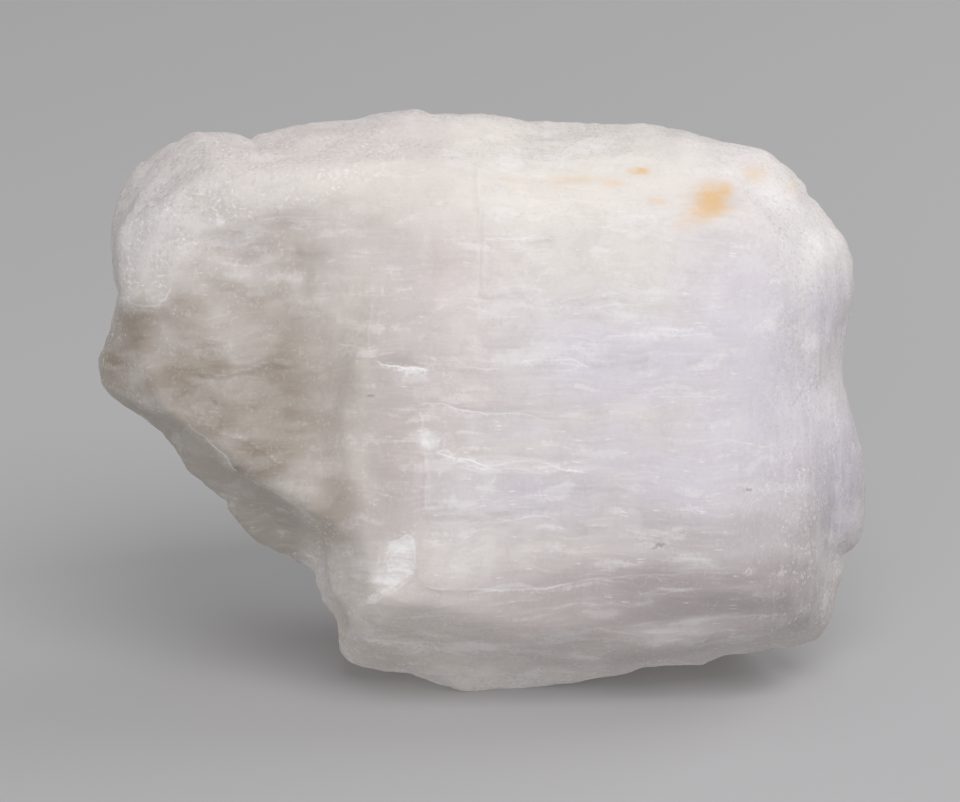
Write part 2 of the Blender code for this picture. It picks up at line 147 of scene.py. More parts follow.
# Ledges: a broken line (x, z) with the proud side on its left, the height of the step, and how far
# behind the edge the plate has sunk back into the face.
FRONT_LEDGES = {
    "crown step": ([(-0.2, 35), (-0.8, 27), (-0.5, 20), (-1.2, 11)], 0.6, 9),
    "keystone": ([(-1.5, 21.2), (2.5, 21.6), (6, 20.6), (11, 21.4)], 0.45, 6),
    "brow ledge": ([(-2, 13.6), (6, 12.8), (14, 13.4), (26, 12)], 0.35, 7),
    "middle plate": ([
        (-13, 17), (-14, 6.6), (-12.4, 4.9), (-7, 4), (-1, 4.2), (4.5, 5.6),
    ], 0.45, 10),
    "middle ledge": ([(4.5, 4.3), (9, 4.9), (14, 4.3), (21, 5.4), (31, 3.4)], 0.35, 8),
    "hollow's edge": ([
        (-20, 9.4), (-16.4, 6.4), (-16.8, 2), (-15.6, -1.2), (-11, -2), (-7, -1.4),
    ], 0.5, 7),
    "scoop's top": ([(-9.4, -1.6), (-6.6, -0.2), (-2, -1.2), (5.4, -1.5), (12, -3.8)], 0.45, 7),
    "scoop's foot": ([(19, -9.2), (12, -8.6), (6, -7.7), (0.5, -8.1), (-5, -6.6)], 0.5, 7),
    "bright plate's side": ([(-7.6, -4.6), (-7, -9), (-7.4, -15.2)], 0.5, 8),
    "bright plate": ([(-8, -14.2), (-2, -14.8), (5, -13.6), (11, -14.2)], 0.45, 6),
    "belt": ([(-10, -22), (-5.5, -24), (4.4, -24), (12.8, -22.3), (24, -21.8), (38, -20)], 0.5, 7),
    "belt's shadow": ([(18, -25.2), (26, -24.4), (38, -23.6)], 0.35, 4),
    "left skirt": ([(-17.5, -30), (-11.8, -31), (-4, -30.6), (3, -31.4)], 0.6, 5),
    "right skirt": ([(8, -29.8), (20, -28.8), (31.5, -27.4), (45, -27)], 0.7, 5),
    "right scale": ([(30, -9), (38, -8), (46, -9.5)], 0.45, 7),
    "upper right scale": ([(24, 20), (33, 21.5), (41, 19)], 0.35, 7),
    "wing shelf": ([(-42, 4), (-34, 3), (-26, 4.6), (-20, 3.6)], 0.45, 7),
    "wing foot": ([(-38, -4), (-31, -5.4), (-24, -9.4)], 0.35, 5),
}
BACK_LEDGES = {
    "great step": ([(-12, 34), (-9, 18), (-13, 6), (-8, -8), (-11, -20)], 1.9, 20),
    "shelf": ([(-8, 11), (4, 9), (17, 12), (34, 8), (46, 11)], 2, 14),
    "upper scale": ([(2, 25), (14, 22), (26, 24), (36, 20)], 1.3, 8),
    "left scale": ([(-44, 16), (-32, 12), (-22, 15), (-12, 11)], 1.5, 11),
    "left foot": ([(-38, 2), (-30, -2), (-20, -1), (-10, -6)], 1.4, 9),
    "dish": ([(34, -8), (24, -3), (12, -5), (0, -3)], 1.7, 10),
    "foot plate": ([(-14, -21), (2, -19), (18, -22), (38, -18)], 1.5, 9),
}

# Notches in the rim: (x, z), radius, and depth.
NOTCHES = [
    ((-30.6, 34.6), 0.8, 0.5), ((-48.6, 14.6), 1.6, 0.6), ((-20.6, -24.6), 1.2, 0.8),
    ((-41.6, -3.6), 1.2, 0.6), ((-33.8, -13), 1.2, 0.6), ((-25.6, -20.4), 1.2, 0.6),
    ((47.4, -20.4), 1.4, 0.8), ((43, 27.6), 1.3, 0.5), ((21, -35.6), 1.4, 0.5),
]

# Small dark specks on the show face: (x, z), and radius.
SPECKS = [((33.8, -11.2), 0.30), ((22.4, -18.2), 0.34), ((21.6, -18.6), 0.24), ((-14.4, 0.8), 0.22)]

# Lumps and dents without a sharp edge: (x, z), radius, and rise.
FRONT_LUMPS = [
    ((-44, 25), 6, 0.8), ((-33, 29), 8, 0.7), ((-39, 16.5), 5, 0.9), ((-28, 14), 9, -1.5),
    ((-44, 8), 5, -0.9), ((-22, -12), 8, 0.8), ((28, 27), 6, -0.6), ((43, 3), 7, -1),
    ((44, -11), 8, 0.8), ((35, 26), 3.5, 0.6), ((39, 21.5), 3.5, 0.6), ((20, -3), 10, 0.6),
    ((6, -33), 6, 0.7), ((30, -29), 7, -0.5),
]
BACK_LUMPS = [
    ((-30, 12), 13, 1.4), ((12, 4), 16, 1.6), ((30, 12), 9, -1.4), ((34, -18), 9, 1),
    ((-14, -16), 8, -1),
]

# Hairline ledges, too low to be part of the solid, frosted along their broken edge: a broken line
# (x, z) with the proud side on its left, and how strong the frost is.
HAIR_LEDGES = {
    "hollow's corner": ([(-19, 7.6), (-16.2, 6.9), (-14.2, 6.2), (-13.9, 5.2)], 0.5),
    "plate's side": ([(-13.9, 14), (-14.4, 9.8), (-14.6, 7.4), (-13.9, 5.4)], 0.4),
    "plate's lip": ([(-13.9, 5.4), (-13.2, 4.9), (-11.2, 4.6), (-9, 4.3), (-6.6, 4)], 1),
    "notch": ([(-4.4, 6.1), (-3.2, 5.2), (-2.4, 4.4), (0, 4.1), (2.4, 4.2)], 0.7),
    "long lip": ([(4, 5), (7, 5.4), (11, 5.4), (14, 4.2)], 0.6),
    "long lip's end": ([(6, 4.2), (9.4, 3.9), (12, 4.4), (15.4, 3.8)], 0.35),
    "scoop's roof": ([
        (-8.8, -0.3), (-5.6, -0.2), (-2.4, -1.1), (0.8, -1.7), (5.4, -1.5), (8.4, -2.6),
    ], 0.7),
    "scoop's back": ([(-8.2, -0.7), (-7.8, -2.4), (-7.9, -3.9), (-6.9, -5.6), (-6, -6.5)], 0.6),
    "scoop's floor": ([
        (14, -9.2), (10.4, -8.6), (8, -7.7), (4.8, -7.4), (0.8, -8.1), (-2.8, -7.3), (-5, -6.9),
        (-6.7, -6.5),
    ], 0.75),
    "scoop's second floor": ([(9, -9.4), (4, -8.8), (0, -9), (-4, -8)], 0.45),
    "floor's end": ([(31, -9.2), (26, -8.6), (20, -9), (15, -9.5)], 0.2),
    "bright lip": ([(10, -15), (6.4, -14.4), (2, -15.2), (-2, -15.6)], 0.4),
    "bright plate's edge": ([(-7.2, -5.4), (-6.8, -9), (-7, -15)], 0.12),
    "upper wisp": ([(8, 12.8), (13, 12), (18, 12.6), (22, 11.8)], 0.35),
    "right shelf": ([(14, 8.2), (19, 8.7), (25, 8.4), (30, 8.9)], 0.4),
    "keystone's lip": ([(-0.4, 21), (3, 20.7), (6.2, 21)], 0.7),
    "crown's step": ([(-0.4, 33.6), (-0.6, 30.2), (-0.3, 26), (-0.6, 21.2)], 0.3),
    "crown's step, low": ([(-0.7, 20.6), (-0.6, 17), (-0.9, 12.6)], 0.3),
    "crown wisp": ([(1, 30.2), (4, 29.4), (8.6, 28.6), (11, 28.8)], 0.45),
    "brow wisp": ([(12, 25.8), (17, 25.4), (22, 25.9)], 0.3),
    "right wisp": ([(22, 0.8), (27, 0.5), (33, 1.1)], 0.3),
    "right lip": ([(26, -5.2), (31, -4.8), (35, -5.6)], 0.3),
    "belt's lip": ([
        (-8.2, -23.1), (-5.6, -23.9), (-1.4, -23.8), (4.4, -24), (8.6, -23.7), (12.8, -22.6),
    ], 0.55),
    "belt's end": ([(12.8, -22.6), (17.8, -22.3), (28.2, -21.7), (34, -21)], 0.2),
    "skirt's lip": ([(-16.4, -30.5), (-11.8, -30.9), (-7, -31.1), (0, -30.8)], 0.55),
    "skirt's end": ([
        (13.6, -28.9), (19.6, -28.5), (25.8, -27.8), (31.5, -27.6), (43.8, -26.9),
    ], 0.25),
    "skirt wisp": ([(19.4, -24.8), (25.8, -24), (34, -23.4)], 0.2),
    "right foot": ([(28.6, -22), (35.4, -21.4)], 0.15),
    "foot's corner": ([(-12.2, -20), (-8.8, -17.4), (-8.6, -21.6)], 0.3),
    "scar's edge": ([(-8.6, -17.2), (-9.6, -17), (-11, -17.8), (-12.2, -17.8)], 0.5),
    "scar's foot": ([(-8.8, -22), (-10.8, -23.6), (-13.4, -25.2), (-15.4, -25.9)], 0.3),
    "wing lip": ([(-38.3, -2.4), (-36.2, -4.2), (-32.9, -7.2), (-31.4, -9.3)], 0.45),
    "wing lip's end": ([
        (-31.4, -9.3), (-28.6, -10.6), (-25.9, -12), (-23.4, -13.6), (-21.6, -15.2),
    ], 0.3),
    "lobe's lip": ([
        (-47.4, 13.8), (-45.6, 12.9), (-44, 12.4), (-42.2, 12.2), (-40.8, 13.2), (-39.8, 15.4),
    ], 0.5),
    "lobe's side": ([(-39.4, 17), (-39.8, 18.8), (-38.4, 20), (-35.4, 20.9), (-31.4, 21.6)], 0.3),
    "lobe's brow": ([(-29.6, 23.2), (-26, 23.6), (-22.6, 23.6), (-21, 25.2), (-19.4, 26.2)], 0.35),
}

# The under-bevel's rim, nose to foot. Below it the stone is darker: partly clearer, partly painted
# shade.
BEVEL_RIM = [
    (-50.5, 3.2), (-47.6, 1.2), (-44, -0.6), (-40.6, -1.6), (-38.3, -2.5), (-36.2, -4.3),
    (-32.9, -7.2), (-31.4, -9.4), (-28.6, -10.7), (-25.9, -12.1), (-23.4, -13.7), (-21.6, -15.1),
    (-20.3, -17.4), (-20.6, -22),
]

# The stone's colours, painted shade and painted light lie in soft clouds: (x, z), the half widths,
# and the strength.
CLOUDS = {
    # The hollow's yellow-brown tint, laid darker as painted shade in the hollow and under the
    # lobe's foot, where the lobe shades it.
    "khaki": [
        (-26, 1, 10.5, 15, 0.95), (-38, 2.5, 10, 8, 1), (-25, 18, 7.5, 5.5, 0.50),
        (-36.5, 11, 7, 5.5, 0.80), (-48, 5, 4.5, 8, 1), (-20, -13, 5, 8, 0.80),
        (-17, 9, 5, 7, 0.35), (-14, 24, 6, 5, 0.22), (-44, 9, 5, 6, 1), (-29, -7, 9, 6, 1),
        (-13.5, 3, 4, 5, 0.25), (-18, -28, 3.5, 8, 0.40), (-12, -10, 5, 12, 0.38),
        (-31, 10, 6, 4, 0.65), (-34, -1, 9, 6, 1), (-12, -33, 9, 4, 0.32), (-19, -6, 3.6, 8, 0.6),
        (-29.5, 13, 6, 4, 0.75), (-33.5, 6, 5, 5.5, 1), (-33, 14.5, 4.5, 3, 0.7),
    ],
    "lavender": [
        (36, 2, 13, 26, 0.8), (47, -9, 7, 12, 1), (7, -12, 13, 4.5, 0.7), (24, 5, 14, 7, 0.75),
        (-45, 23, 4, 6, 0.3), (4, -4, 6, 3, 0.4), (26, -10, 14, 8, 0.75), (44, 12, 5, 8, 0.8),
        (16, -7, 9, 6, 0.6), (14, 5, 10, 7, 0.8), (34, 8, 10, 9, 0.8),
    ],
    # A warm tint that is also painted light: it brightens the crown where it faces up to the light,
    # and the upper right corner where its face is turned from it. A few make the stone lighter low
    # on the left.
    "cream": [
        (18, 28, 28, 6.5, 1), (1.5, 32.5, 9, 4, 0.8), (-14, 29, 12, 5, 0.6),
        (-45, 13.4, 4, 2.4, 0.6), (36, 26, 6, 8, 1), (43, 20, 5, 9, 1), (20, 20, 9, 5, 0.5),
        (42, 10, 4, 9, 0.6), (-16.2, 7, 2, 9, 0.65), (-15.4, -8, 1.6, 8, 0.35),
        (-12, -31, 9, 4, 0.35), (-21.5, -16.5, 3, 2.5, 0.5), (-15, -27, 5, 4, 0.4),
        (35, 30, 5, 5, 0.8), (41, 24, 5, 6, 0.6),
    ],
    "rose": [
        (-6, 17, 9, 12, 0.75), (-12, -8, 7, 14, 0.6), (14, -3, 12, 4, 0.3), (-4, 1, 9, 4.5, 0.6),
        (-16, 22, 8, 8, 0.6), (-10, -30, 12, 7, 0.9), (10, -29, 30, 6, 0.9), (-18, 33, 16, 4, 0.9),
        (-27, 20, 7, 5, 0.6),
    ],
    # Painted shade: these darken the band low on the face, where it faces down, and give a darker
    # tone in the middle and on the lobe. The smallest ovals are dark marks in the hollow.
    "shade": [
        (24, -23.5, 22, 5, 0.95), (36, -25, 10, 6, 0.90), (8, -18, 14, 4, 0.32),
        (26, -16.5, 18, 4, 0.66), (-9, -8, 6, 9, 0.2), (48, -8, 3, 8, 0.25),
        (35, -21.8, 10, 3.4, 1), (9, -10, 12, 7, 0.28), (20, -32, 16, 3.5, 0.45),
        (41, -18, 5, 10, 0.45), (-4, -3, 12, 9, 0.26), (-24, 18.1, 0.7, 1.8, 0.5),
        (-28.9, 19.9, 2.2, 1, 0.35), (-21.3, 18.8, 1, 1, 0.4), (-24.8, 10, 1, 1.6, 0.35),
        (-25.9, 2.2, 1.3, 1.2, 0.35), (-25.9, -1, 1.4, 1.2, 0.3), (-43, 7, 2, 2, 0.3),
        (-40, 24, 10, 9, 0.14), (-15, -18, 4, 6, 0.26), (-11, 3, 6, 10, 0.42),
    ],
    "stain": [
        (29.2, 25.8, 2.4, 2.4, 1), (29, 25.4, 5.5, 3.6, 0.35), (30.8, 27, 1.5, 1.3, 0.85),
        (27.6, 24, 2.2, 1.6, 0.62), (20, 29.7, 1.5, 0.5, 0.9), (12, 28.5, 4.6, 0.7, 0.5),
        (22.6, 25.8, 1.8, 0.7, 0.45), (16.6, 28, 2.4, 0.6, 0.4), (35, 29.4, 2.4, 1.8, 0.45),
        (40, 27.8, 1.6, 1.3, 0.35), (25.6, 22.6, 2.2, 1, 0.35), (4, 28.4, 3, 0.5, 0.3),
    ],
    "frost": [
        (-33.7, 23.2, 0.8, 1.2, 1), (-46, 13.4, 2.4, 1.6, 0.8), (-41.8, 13.4, 2.2, 1.2, 0.7),
        (-39, 12, 3, 1.4, 0.5), (-11.2, -19.2, 1.6, 2.2, 0.9), (-12.4, -22.6, 2.6, 1.6, 0.9),
        (-9.4, 4.1, 2.6, 0.5, 1), (-7.2, -4.6, 0.8, 2, 1), (-5, -6.8, 2.4, 0.6, 0.8),
        (3, 30.8, 2.8, 2, 0.8), (1, 28, 1.2, 4, 0.4), (4, 22, 3.4, 0.8, 0.5),
        (6, 28.8, 4, 0.9, 0.6), (41.4, 8, 1.8, 2.8, 0.9), (45.2, -17.4, 2.6, 1.4, 0.9),
        (45, -11.5, 1.5, 2.5, 0.6), (22.4, -22.6, 1, 0.4, 0.9), (22.5, 8.8, 7, 1, 0.8),
        (7.6, 12.6, 5.6, 1.4, 0.8), (2, -11, 6, 3, 0.35), (37, 28, 4, 3, 0.7),
        (44, 20, 3.5, 6, 0.7), (44.5, -2, 3, 7, 0.6), (30, 14, 8, 1, 0.45),
        (-32, 10.9, 4.6, 0.6, 0.4), (24, -20, 10, 1, 0.3), (20, 23.6, 9, 1.2, 0.5),
        (34, 20, 6, 2, 0.5), (-31, 31, 8, 2.2, 0.45), (36, -6, 5, 2, 0.4), (14, 18, 6, 1.2, 0.35),
        (37.5, 10, 1.2, 4, 0.7), (44.5, 14, 1.2, 5, 0.6), (43, -3, 1.2, 5, 0.65),
        (40, -10, 1.5, 4, 0.5), (46, -8, 1, 5, 0.6), (40.5, 16, 1.4, 3, 0.6),
        (-26, -6, 6, 0.8, 0.3), (-2, -27, 10, 1.2, 0.3), (28, -31, 8, 1, 0.35),
    ],
}

# Plates with a crisp edge: the tint, its strength, the width of its edge, and the outline (x, z).
PLATES = [
    ("granular", 1, 2.5, [
        (-52, 13.8), (-45.6, 12.9), (-40.8, 13.2), (-39.4, 17), (-35.4, 20.9), (-29.6, 23.2),
        (-21, 25.2), (-12.2, 29.2), (-12, 40), (-52, 40),
    ]),
    ("frost", 0.20, 0.6, [
        (-7, -7), (-1.8, -8.3), (7.4, -8.1), (10, -9.1), (8, -14.3), (-0.5, -14.7), (-6.2, -14.9),
    ]),
    ("frost", 0.25, 0.5, [(-0.5, 33.4), (6.1, 31.6), (6.3, 21.2), (3, 20.7), (-0.2, 21.1)]),
    ("frost", 1, 0.5, [
        (-12.2, -18), (-9.4, -17.1), (-8.6, -17.2), (-8.7, -21.8), (-11.5, -23.6), (-13.6, -23.2),
        (-12, -21),
    ]),
    ("frost", 0.75, 0.8, [(-13.4, -23.2), (-11.5, -23.8), (-13.6, -25.8), (-15.6, -26)]),
    ("frost", 0.50, 0.8, [
        (38.2, 10), (40.4, 9.6), (42.2, 7.6), (42, 4.6), (39.6, 4.2), (38.4, 6.6),
    ]),
    ("rose", 0.80, 0.8, [(-6.2, -1.8), (-2.5, -1.6), (-2.3, -5.6), (-5.7, -5.3)]),
    # The hollow's plates: its yellow-brown tint, and painted shade under the lobe.
    ("khaki", 0.62, 4, [
        (-42, 1), (-40, 10.5), (-33, 11.5), (-28, 15), (-19.5, 13), (-17.6, 5), (-16.6, 1.5),
        (-17.2, -9), (-19.4, -14), (-24, -12), (-30, -9),
    ]),
    ("khaki", 0.26, 1.6, [
        (-29, 20.4), (-27.8, 21.8), (-22.6, 23.2), (-20.6, 21), (-19.4, 14), (-28, 15),
    ]),
    ("khaki", 0.20, 2, [
        (-16.6, 5), (-13.8, 5.2), (-13, -1), (-8.2, -1), (-7, -14), (-12, -16), (-16.4, -20),
        (-17.4, -9),
    ]),
    ("cloudy", 0.6, 0.7, [(-9, 22), (-1, 21), (-1, 12), (-4.6, 6), (-13.6, 6), (-12.4, 16)]),
    ("cloudy", 0.5, 0.7, [(9, 16), (21, 15.4), (23, 10), (8.6, 10.4)]),
]


def mm_property(name, description, default):
    """A length, given in mm and held in metres."""
    settings = {"default": default * MM, "min": 0.0, "unit": "LENGTH", "precision": 5}
    return FloatProperty(name=name, description=description, **settings)


def colour_property(name, description, default):
    """A colour."""
    settings = {"default": default, "size": 3, "min": 0.0, "max": 1.0, "subtype": "COLOR"}
    return FloatVectorProperty(name=name, description=description, **settings)


def share_property(name, description, default, top=1.0):
    """A plain number from 0 to its top."""
    return FloatProperty(name=name, description=description, default=default, min=0.0, max=top)


def power_property(name, description, default):
    """The power of a light."""
    return FloatProperty(name=name, description=description, default=default, unit="POWER")


class StoneShape(bpy.types.PropertyGroup):
    """Sizes of the stone's skin."""

    lean: FloatProperty(
        name="Lean",
        description="How far the show face leans back",
        default=math.radians(16),
        subtype="ANGLE",
    )
    skin_cell: mm_property("Skin cell", "Cell size of the fused skin", 0.4)
    triangles: IntProperty(
        name="Triangles",
        description="Most triangles of the finished skin",
        default=190000,
        min=1000,
    )
    edge_width: mm_property("Ledge edge", "Width of a broken ledge's edge", 0.9)
    scale_rise: mm_property("Scale rise", "Height of the cleavage scales on the show face", 0.16)
    back_scale_rise: mm_property("Back scale rise", "Height of the scales on the back", 1.1)
    shingle_spacing: mm_property("Shingle spacing", "Spacing of the fine shingles", 1.9)
    shingle_rise: mm_property("Shingle rise", "Height of the fine shingles", 0.07)
    grain_size: mm_property("Grain size", "Size of the sugary grain", 1.5)
    grain_rise: mm_property("Grain rise", "Height of the sugary grain", 0.10)
    nick_size: mm_property("Nick size", "Spacing of the nicks along the rim", 3.2)
    nick_depth: mm_property("Nick depth", "Depth of the nicks along the rim", 0.3)


class StoneFinish(bpy.types.PropertyGroup):
    """Colours and surface of the stone."""

    milky: colour_property("Milky", "The stone's main colour", (0.785, 0.745, 0.725))
    cloudy: colour_property("Cloudy", "The greyer clouds in it", (0.73, 0.69, 0.67))
    # The hollow's tint, made darker as painted shade in the hollow under the lobe.
    khaki: colour_property("Khaki", "The hollow's colour", (0.312, 0.260, 0.209))
    # Painted shade low on the face where it faces down, a darker tone in the middle and on the
    # lobe, and a few small dark marks.
    shade: colour_property("Shade", "The dimmer stone low on the face", (0.442, 0.392, 0.40))
    # A warm tint that is also painted light on the crown and the upper right corner.
    lavender: colour_property("Lavender", "The tint of the right end", (0.70, 0.665, 0.77))
    cream: colour_property("Cream", "The tint of the crown", (0.88, 0.835, 0.775))
    rose: colour_property("Rose", "The warm tint of the middle", (0.69, 0.625, 0.615))
    # Painted shade on faces that point down, and the clearer stone of the under-bevel; the same
    # colour darkens blocks, streaks and the stone between flecks.
    smoke: colour_property("Smoke", "The clearer stone of the underside", (0.43, 0.395, 0.355))
    stain: colour_property("Rust stain", "The rusty spots on the brow", (0.83, 0.55, 0.26))
    frost: colour_property("Frost", "Broken edges and wisps", (0.93, 0.925, 0.935))
    speck: colour_property("Speck", "Small dark specks", (0.26, 0.235, 0.20))
    roughness: share_property("Roughness", "Roughness of the greasy lustre", 0.5)
    clarity: share_property("Clarity", "Share of the light that travels inside the stone", 0.65)
    depth: mm_property("Translucency", "How far light travels in the stone", 4.0)
    relief: share_property("Relief", "Strength of the fine relief", 0.6)
    wisps: share_property("Wisps", "How white the milky wisps are", 0.26)
    flecks: share_property("Flecks", "How white the sugary flecks are", 0.62)


class StudioStage(bpy.types.PropertyGroup):
    """The floor, the lights and the camera."""

    floor: colour_property("Floor", "The floor's colour", (0.52, 0.52, 0.53))
    key: power_property("Key", "Power of the main light", 6.8)
    fill: power_property("Fill", "Power of the front light", 3.9)
    rim: power_property("Rim", "Power of the light from behind", 1.9)
    sky: share_property("Sky", "Strength of the even light all round", 0.40, top=5.0)
    distance: FloatProperty(
        name="Distance", description="From the camera to the stone", default=1.0, unit="LENGTH"
    )
    view_width: mm_property("View width", "Width of the picture at the stone", 125.16)


# ---------------------------------------------------------------- the stone's shape

# The skin, in mm.
FRONT_REACH = 26.0  # how far the uncut prism reaches in front of the widest section
BACK_REACH = 30.0  # and behind it
FOOT = (-8.0, -38.1)  # (y, z) of the foot's front, where the resting face starts
SOLID_CELL = 0.9  # the numbers of smoothings below are for a skin with this cell
SKIN_SMOOTHINGS = 4
FACE_SMOOTHINGS = 14  # more of them on the show face, whose corners are rounded
SOFT_SMOOTHINGS = 26  # and on its right end and beside the hollow, after the carving
SMOOTHING = 0.5  # how far one smoothing moves each vertex
FACE_STARTS = 5.0  # how far in front of the widest section the rounding starts
FACE_FADE = 8.0  # and how much further it is full

# The faces, in mm.
EDGE_WANDER = 1.0  # how far a ledge's edge strays from its line
SWELL_RISE = 0.55  # rise of the broad swell
GRAIN_RISE = 0.3  # rise of the grain on it
BACK_ROUGHNESS = 1.9  # the back is this many times rougher than the show face
BACK_SHINGLES = 3.0  # and its shingles this many times higher
SCALE_SPACING = 5.6  # from one cleavage scale to the next
SCALE_LIP = 0.16  # share of it that is the scale's steep lower lip
SHINGLE_LIP = 0.25
FACE_MARGIN = 2.0  # how far from the widest section the faces' steps begin
FRONT_RAMP = 8.0  # and how much further the show face's are full
BACK_RAMP = 9.0  # and the back's

# The side walls, in mm. They draw in from a rim that wanders along the widest section.
RIM_FORWARD = 3.0  # how far the rim lies in front of the widest section
RIM_WANDER = 4.0
RIM_HALF = 1.0  # half the rim's width
RIM_DEPTH = 11.0  # how far from the outline the walls reach inwards
FRONT_DRAFT = 0.14  # drawn in per mm in front of the rim
BACK_DRAFT = 0.15  # and behind it
WALL_RAMP = 7.0  # how far from the rim the walls' swell is full
SIDE_SWELL = 1.5
SIDE_STEP = 6.0  # from one cleavage step on the walls to the next
SIDE_STEP_WANDER = 3.0
SIDE_STEP_RAMP = 5.0  # how far behind the rim the steps are full
HALF_WIDTH = 50.0  # of the stone, from its middle to its ends
WIDTH_TO_HEIGHT = 1.25

# Smooth noise: the size of its features in mm, its seed, and any squeeze along X, Y and Z.
FIELDS = {
    "broad": (18.0, 3.1),
    "middle": (11.0, 12.9),
    "grain": (6.5, 8.7),
    "ragged": (4.0, 41.9),
    "edge to the right": (9.0, 21.7),
    "edge up": (9.0, 33.3),
    "scaly": (15.0, 55.1, (0.6, 1.0, 1.0)),
    "shingly": (7.0, 71.3, (0.45, 1.0, 1.0)),
    "sugary streaks": (1.4, 63.1, (1.0, 1.0, 0.22)),
    "broad clouds": (14.0, 5.9),
    "small clouds": (5.0, 47.7),
    "ragged clouds": (1.8, 29.3),
    "drift": (2.6, 83.1),
    "patchy frost": (4.5, 61.9),
    "wispy": (8.0, 35.7, (0.6, 0.6, 1.0)),
}
GRAIN_SEEDS = (91.7, 17.9)
NICK_SEEDS = (66.1, 23.9)
CURL_FADE = 0.8  # how fast the detail of curled noise weakens
CURL_FINER = 2.0  # and how much finer each turn of it is
BLOCK_SCATTER = 37.7  # moves the blocks' centres apart, so that each draws its own value
WISPS_PER_MM = (0.16, 0.2, 0.62)
WISP_CURLS = (31.0, 4)  # seed, and turns of detail
CURDS_PER_MM = 0.45
CURD_CURLS = (11.0, 3)
BLOCKS_PER_MM = (0.22, 0.22, 0.36)
TINT_PATCH = 20.0  # size in mm of the patches of tint behind the show face
TINT_SEED = 13.3

# How strong the tints are in patches over the sides and the back.
TINTS_BEHIND = {
    "khaki": 0.5, "lavender": 0.9, "cream": 0.5, "rose": 0.7, "cloudy": 0.6, "granular": 0.8,
}

# Lengths in mm are stored on the skin times a share, because attributes run from -1 to 1.
DRIFT_SHARE = 0.3
LIP_SHARE = 0.25

HAIR_REACH = 9.0  # past this far in mm, a point has no hairline ledge
FLAT_BELOW = 0.02 * MM  # faces this close to the floor are the flat resting face


def prism(outline):
    """The outline pushed through the stone's thickness, as a bmesh."""
    bm = bmesh.new()
    face = bm.faces.new([bm.verts.new((x, -FRONT_REACH, z)) for x, z in outline])
    pushed = bmesh.ops.extrude_face_region(bm, geom=[face])["geom"]
    far_end = [item for item in pushed if isinstance(item, bmesh.types.BMVert)]
    bmesh.ops.translate(bm, vec=(0.0, FRONT_REACH + BACK_REACH, 0.0), verts=far_end)
    bmesh.ops.recalc_face_normals(bm, faces=bm.faces)
    return bm


def cut_away(bm, point, outward):
    """Cuts off what lies beyond a plane, and closes the cut with a flat face."""
    cut = bmesh.ops.bisect_plane(
        bm,
        geom=list(bm.verts) + list(bm.edges) + list(bm.faces),
        plane_co=point,
        plane_no=outward,
        clear_outer=True,
    )["geom_cut"]
    bmesh.ops.holes_fill(bm, edges=[item for item in cut if isinstance(item, bmesh.types.BMEdge)])


def cleaved(outline, front_planes):
    """A prism of the outline, split along its front planes and the shared back planes."""
    bm = prism(outline)
    for planes, facing in ((front_planes, 1.0), (BACK_PLANES, -1.0)):
        for (x, z), height, (gain_right, gain_up) in planes.values():
            outward = Vector((-gain_right, -1.0, -gain_up)) * facing
            cut_away(bm, (x, -height, z), outward)
    bmesh.ops.recalc_face_normals(bm, faces=bm.faces)
    return bm


def apply_modifier(obj, kind, **settings):
    """Adds a modifier, and puts its result in the object's mesh."""
    modifier = obj.modifiers.new(kind.title(), kind)
    for setting, value in settings.items():
        setattr(modifier, setting, value)
    graph = bpy.context.evaluated_depsgraph_get()
    made = bpy.data.meshes.new_from_object(obj.evaluated_get(graph))
    spent = obj.data
    obj.modifiers.clear()
    obj.data = made
    bpy.data.meshes.remove(spent)


def smooth(stone, times, cell, shares=None):
    """Smooths the skin, as often as its cell size asks for, and by each vertex's own share."""
    settings = {"factor": SMOOTHING, "iterations": round(times * (SOLID_CELL / cell) ** 2)}
    if shares is not None:
        group = stone.vertex_groups.new(name="smoothed")
        for number in np.flatnonzero(shares > 0.0):
            group.add([int(number)], float(shares[number]), "REPLACE")
        settings["vertex_group"] = group.name
    apply_modifier(stone, "SMOOTH", **settings)
    stone.vertex_groups.clear()


def fused_stone(name, cell):
    """The block and the wing as one object with one skin of the given cell size."""
    wing_mesh = bpy.data.meshes.new("wing")
    wing = cleaved(WING_OUTLINE, WING_PLANES)
    wing.to_mesh(wing_mesh)
    wing.free()
    mesh = bpy.data.meshes.new(name)
    block = cleaved(BLOCK_OUTLINE, BLOCK_PLANES)
    block.from_mesh(wing_mesh)
    block.to_mesh(mesh)
    block.free()
    bpy.data.meshes.remove(wing_mesh)
    stone = bpy.data.objects.new(name, mesh)
    bpy.context.scene.collection.objects.link(stone)
    apply_modifier(stone, "REMESH", mode="VOXEL", voxel_size=cell)
    smooth(stone, SKIN_SMOOTHINGS, cell)
    y = mesh_points(stone.data)[:, 1]
    smooth(stone, FACE_SMOOTHINGS, cell, eased((-y - FACE_STARTS) / FACE_FADE))
    return stone


def eased(t):
    """0 below 0, 1 above 1, and a smooth ramp between them."""
    t = np.clip(t, 0.0, 1.0)
    return t * t * (3.0 - 2.0 * t)


def hill(x, z, centre, half_sizes):
    """1 at a centre, falling off smoothly over the half sizes to the right and up."""
    (at_x, at_z), (half_x, half_z) = centre, half_sizes
    return np.exp(-(((x - at_x) / half_x) ** 2) - ((z - at_z) / half_z) ** 2)


def segment_gaps(x, z, start, end):
    """Each point's distance to a segment, how far left of its line it lies, and its share along."""
    along_x = end[0] - start[0]
    along_z = end[1] - start[1]
    length = math.hypot(along_x, along_z)
    off_x = x - start[0]
    off_z = z - start[1]
    share = np.clip((off_x * along_x + off_z * along_z) / length**2, 0.0, 1.0)
    gap = np.hypot(off_x - share * along_x, off_z - share * along_z)
    left = (along_x * off_z - along_z * off_x) / length
    return gap, left, share


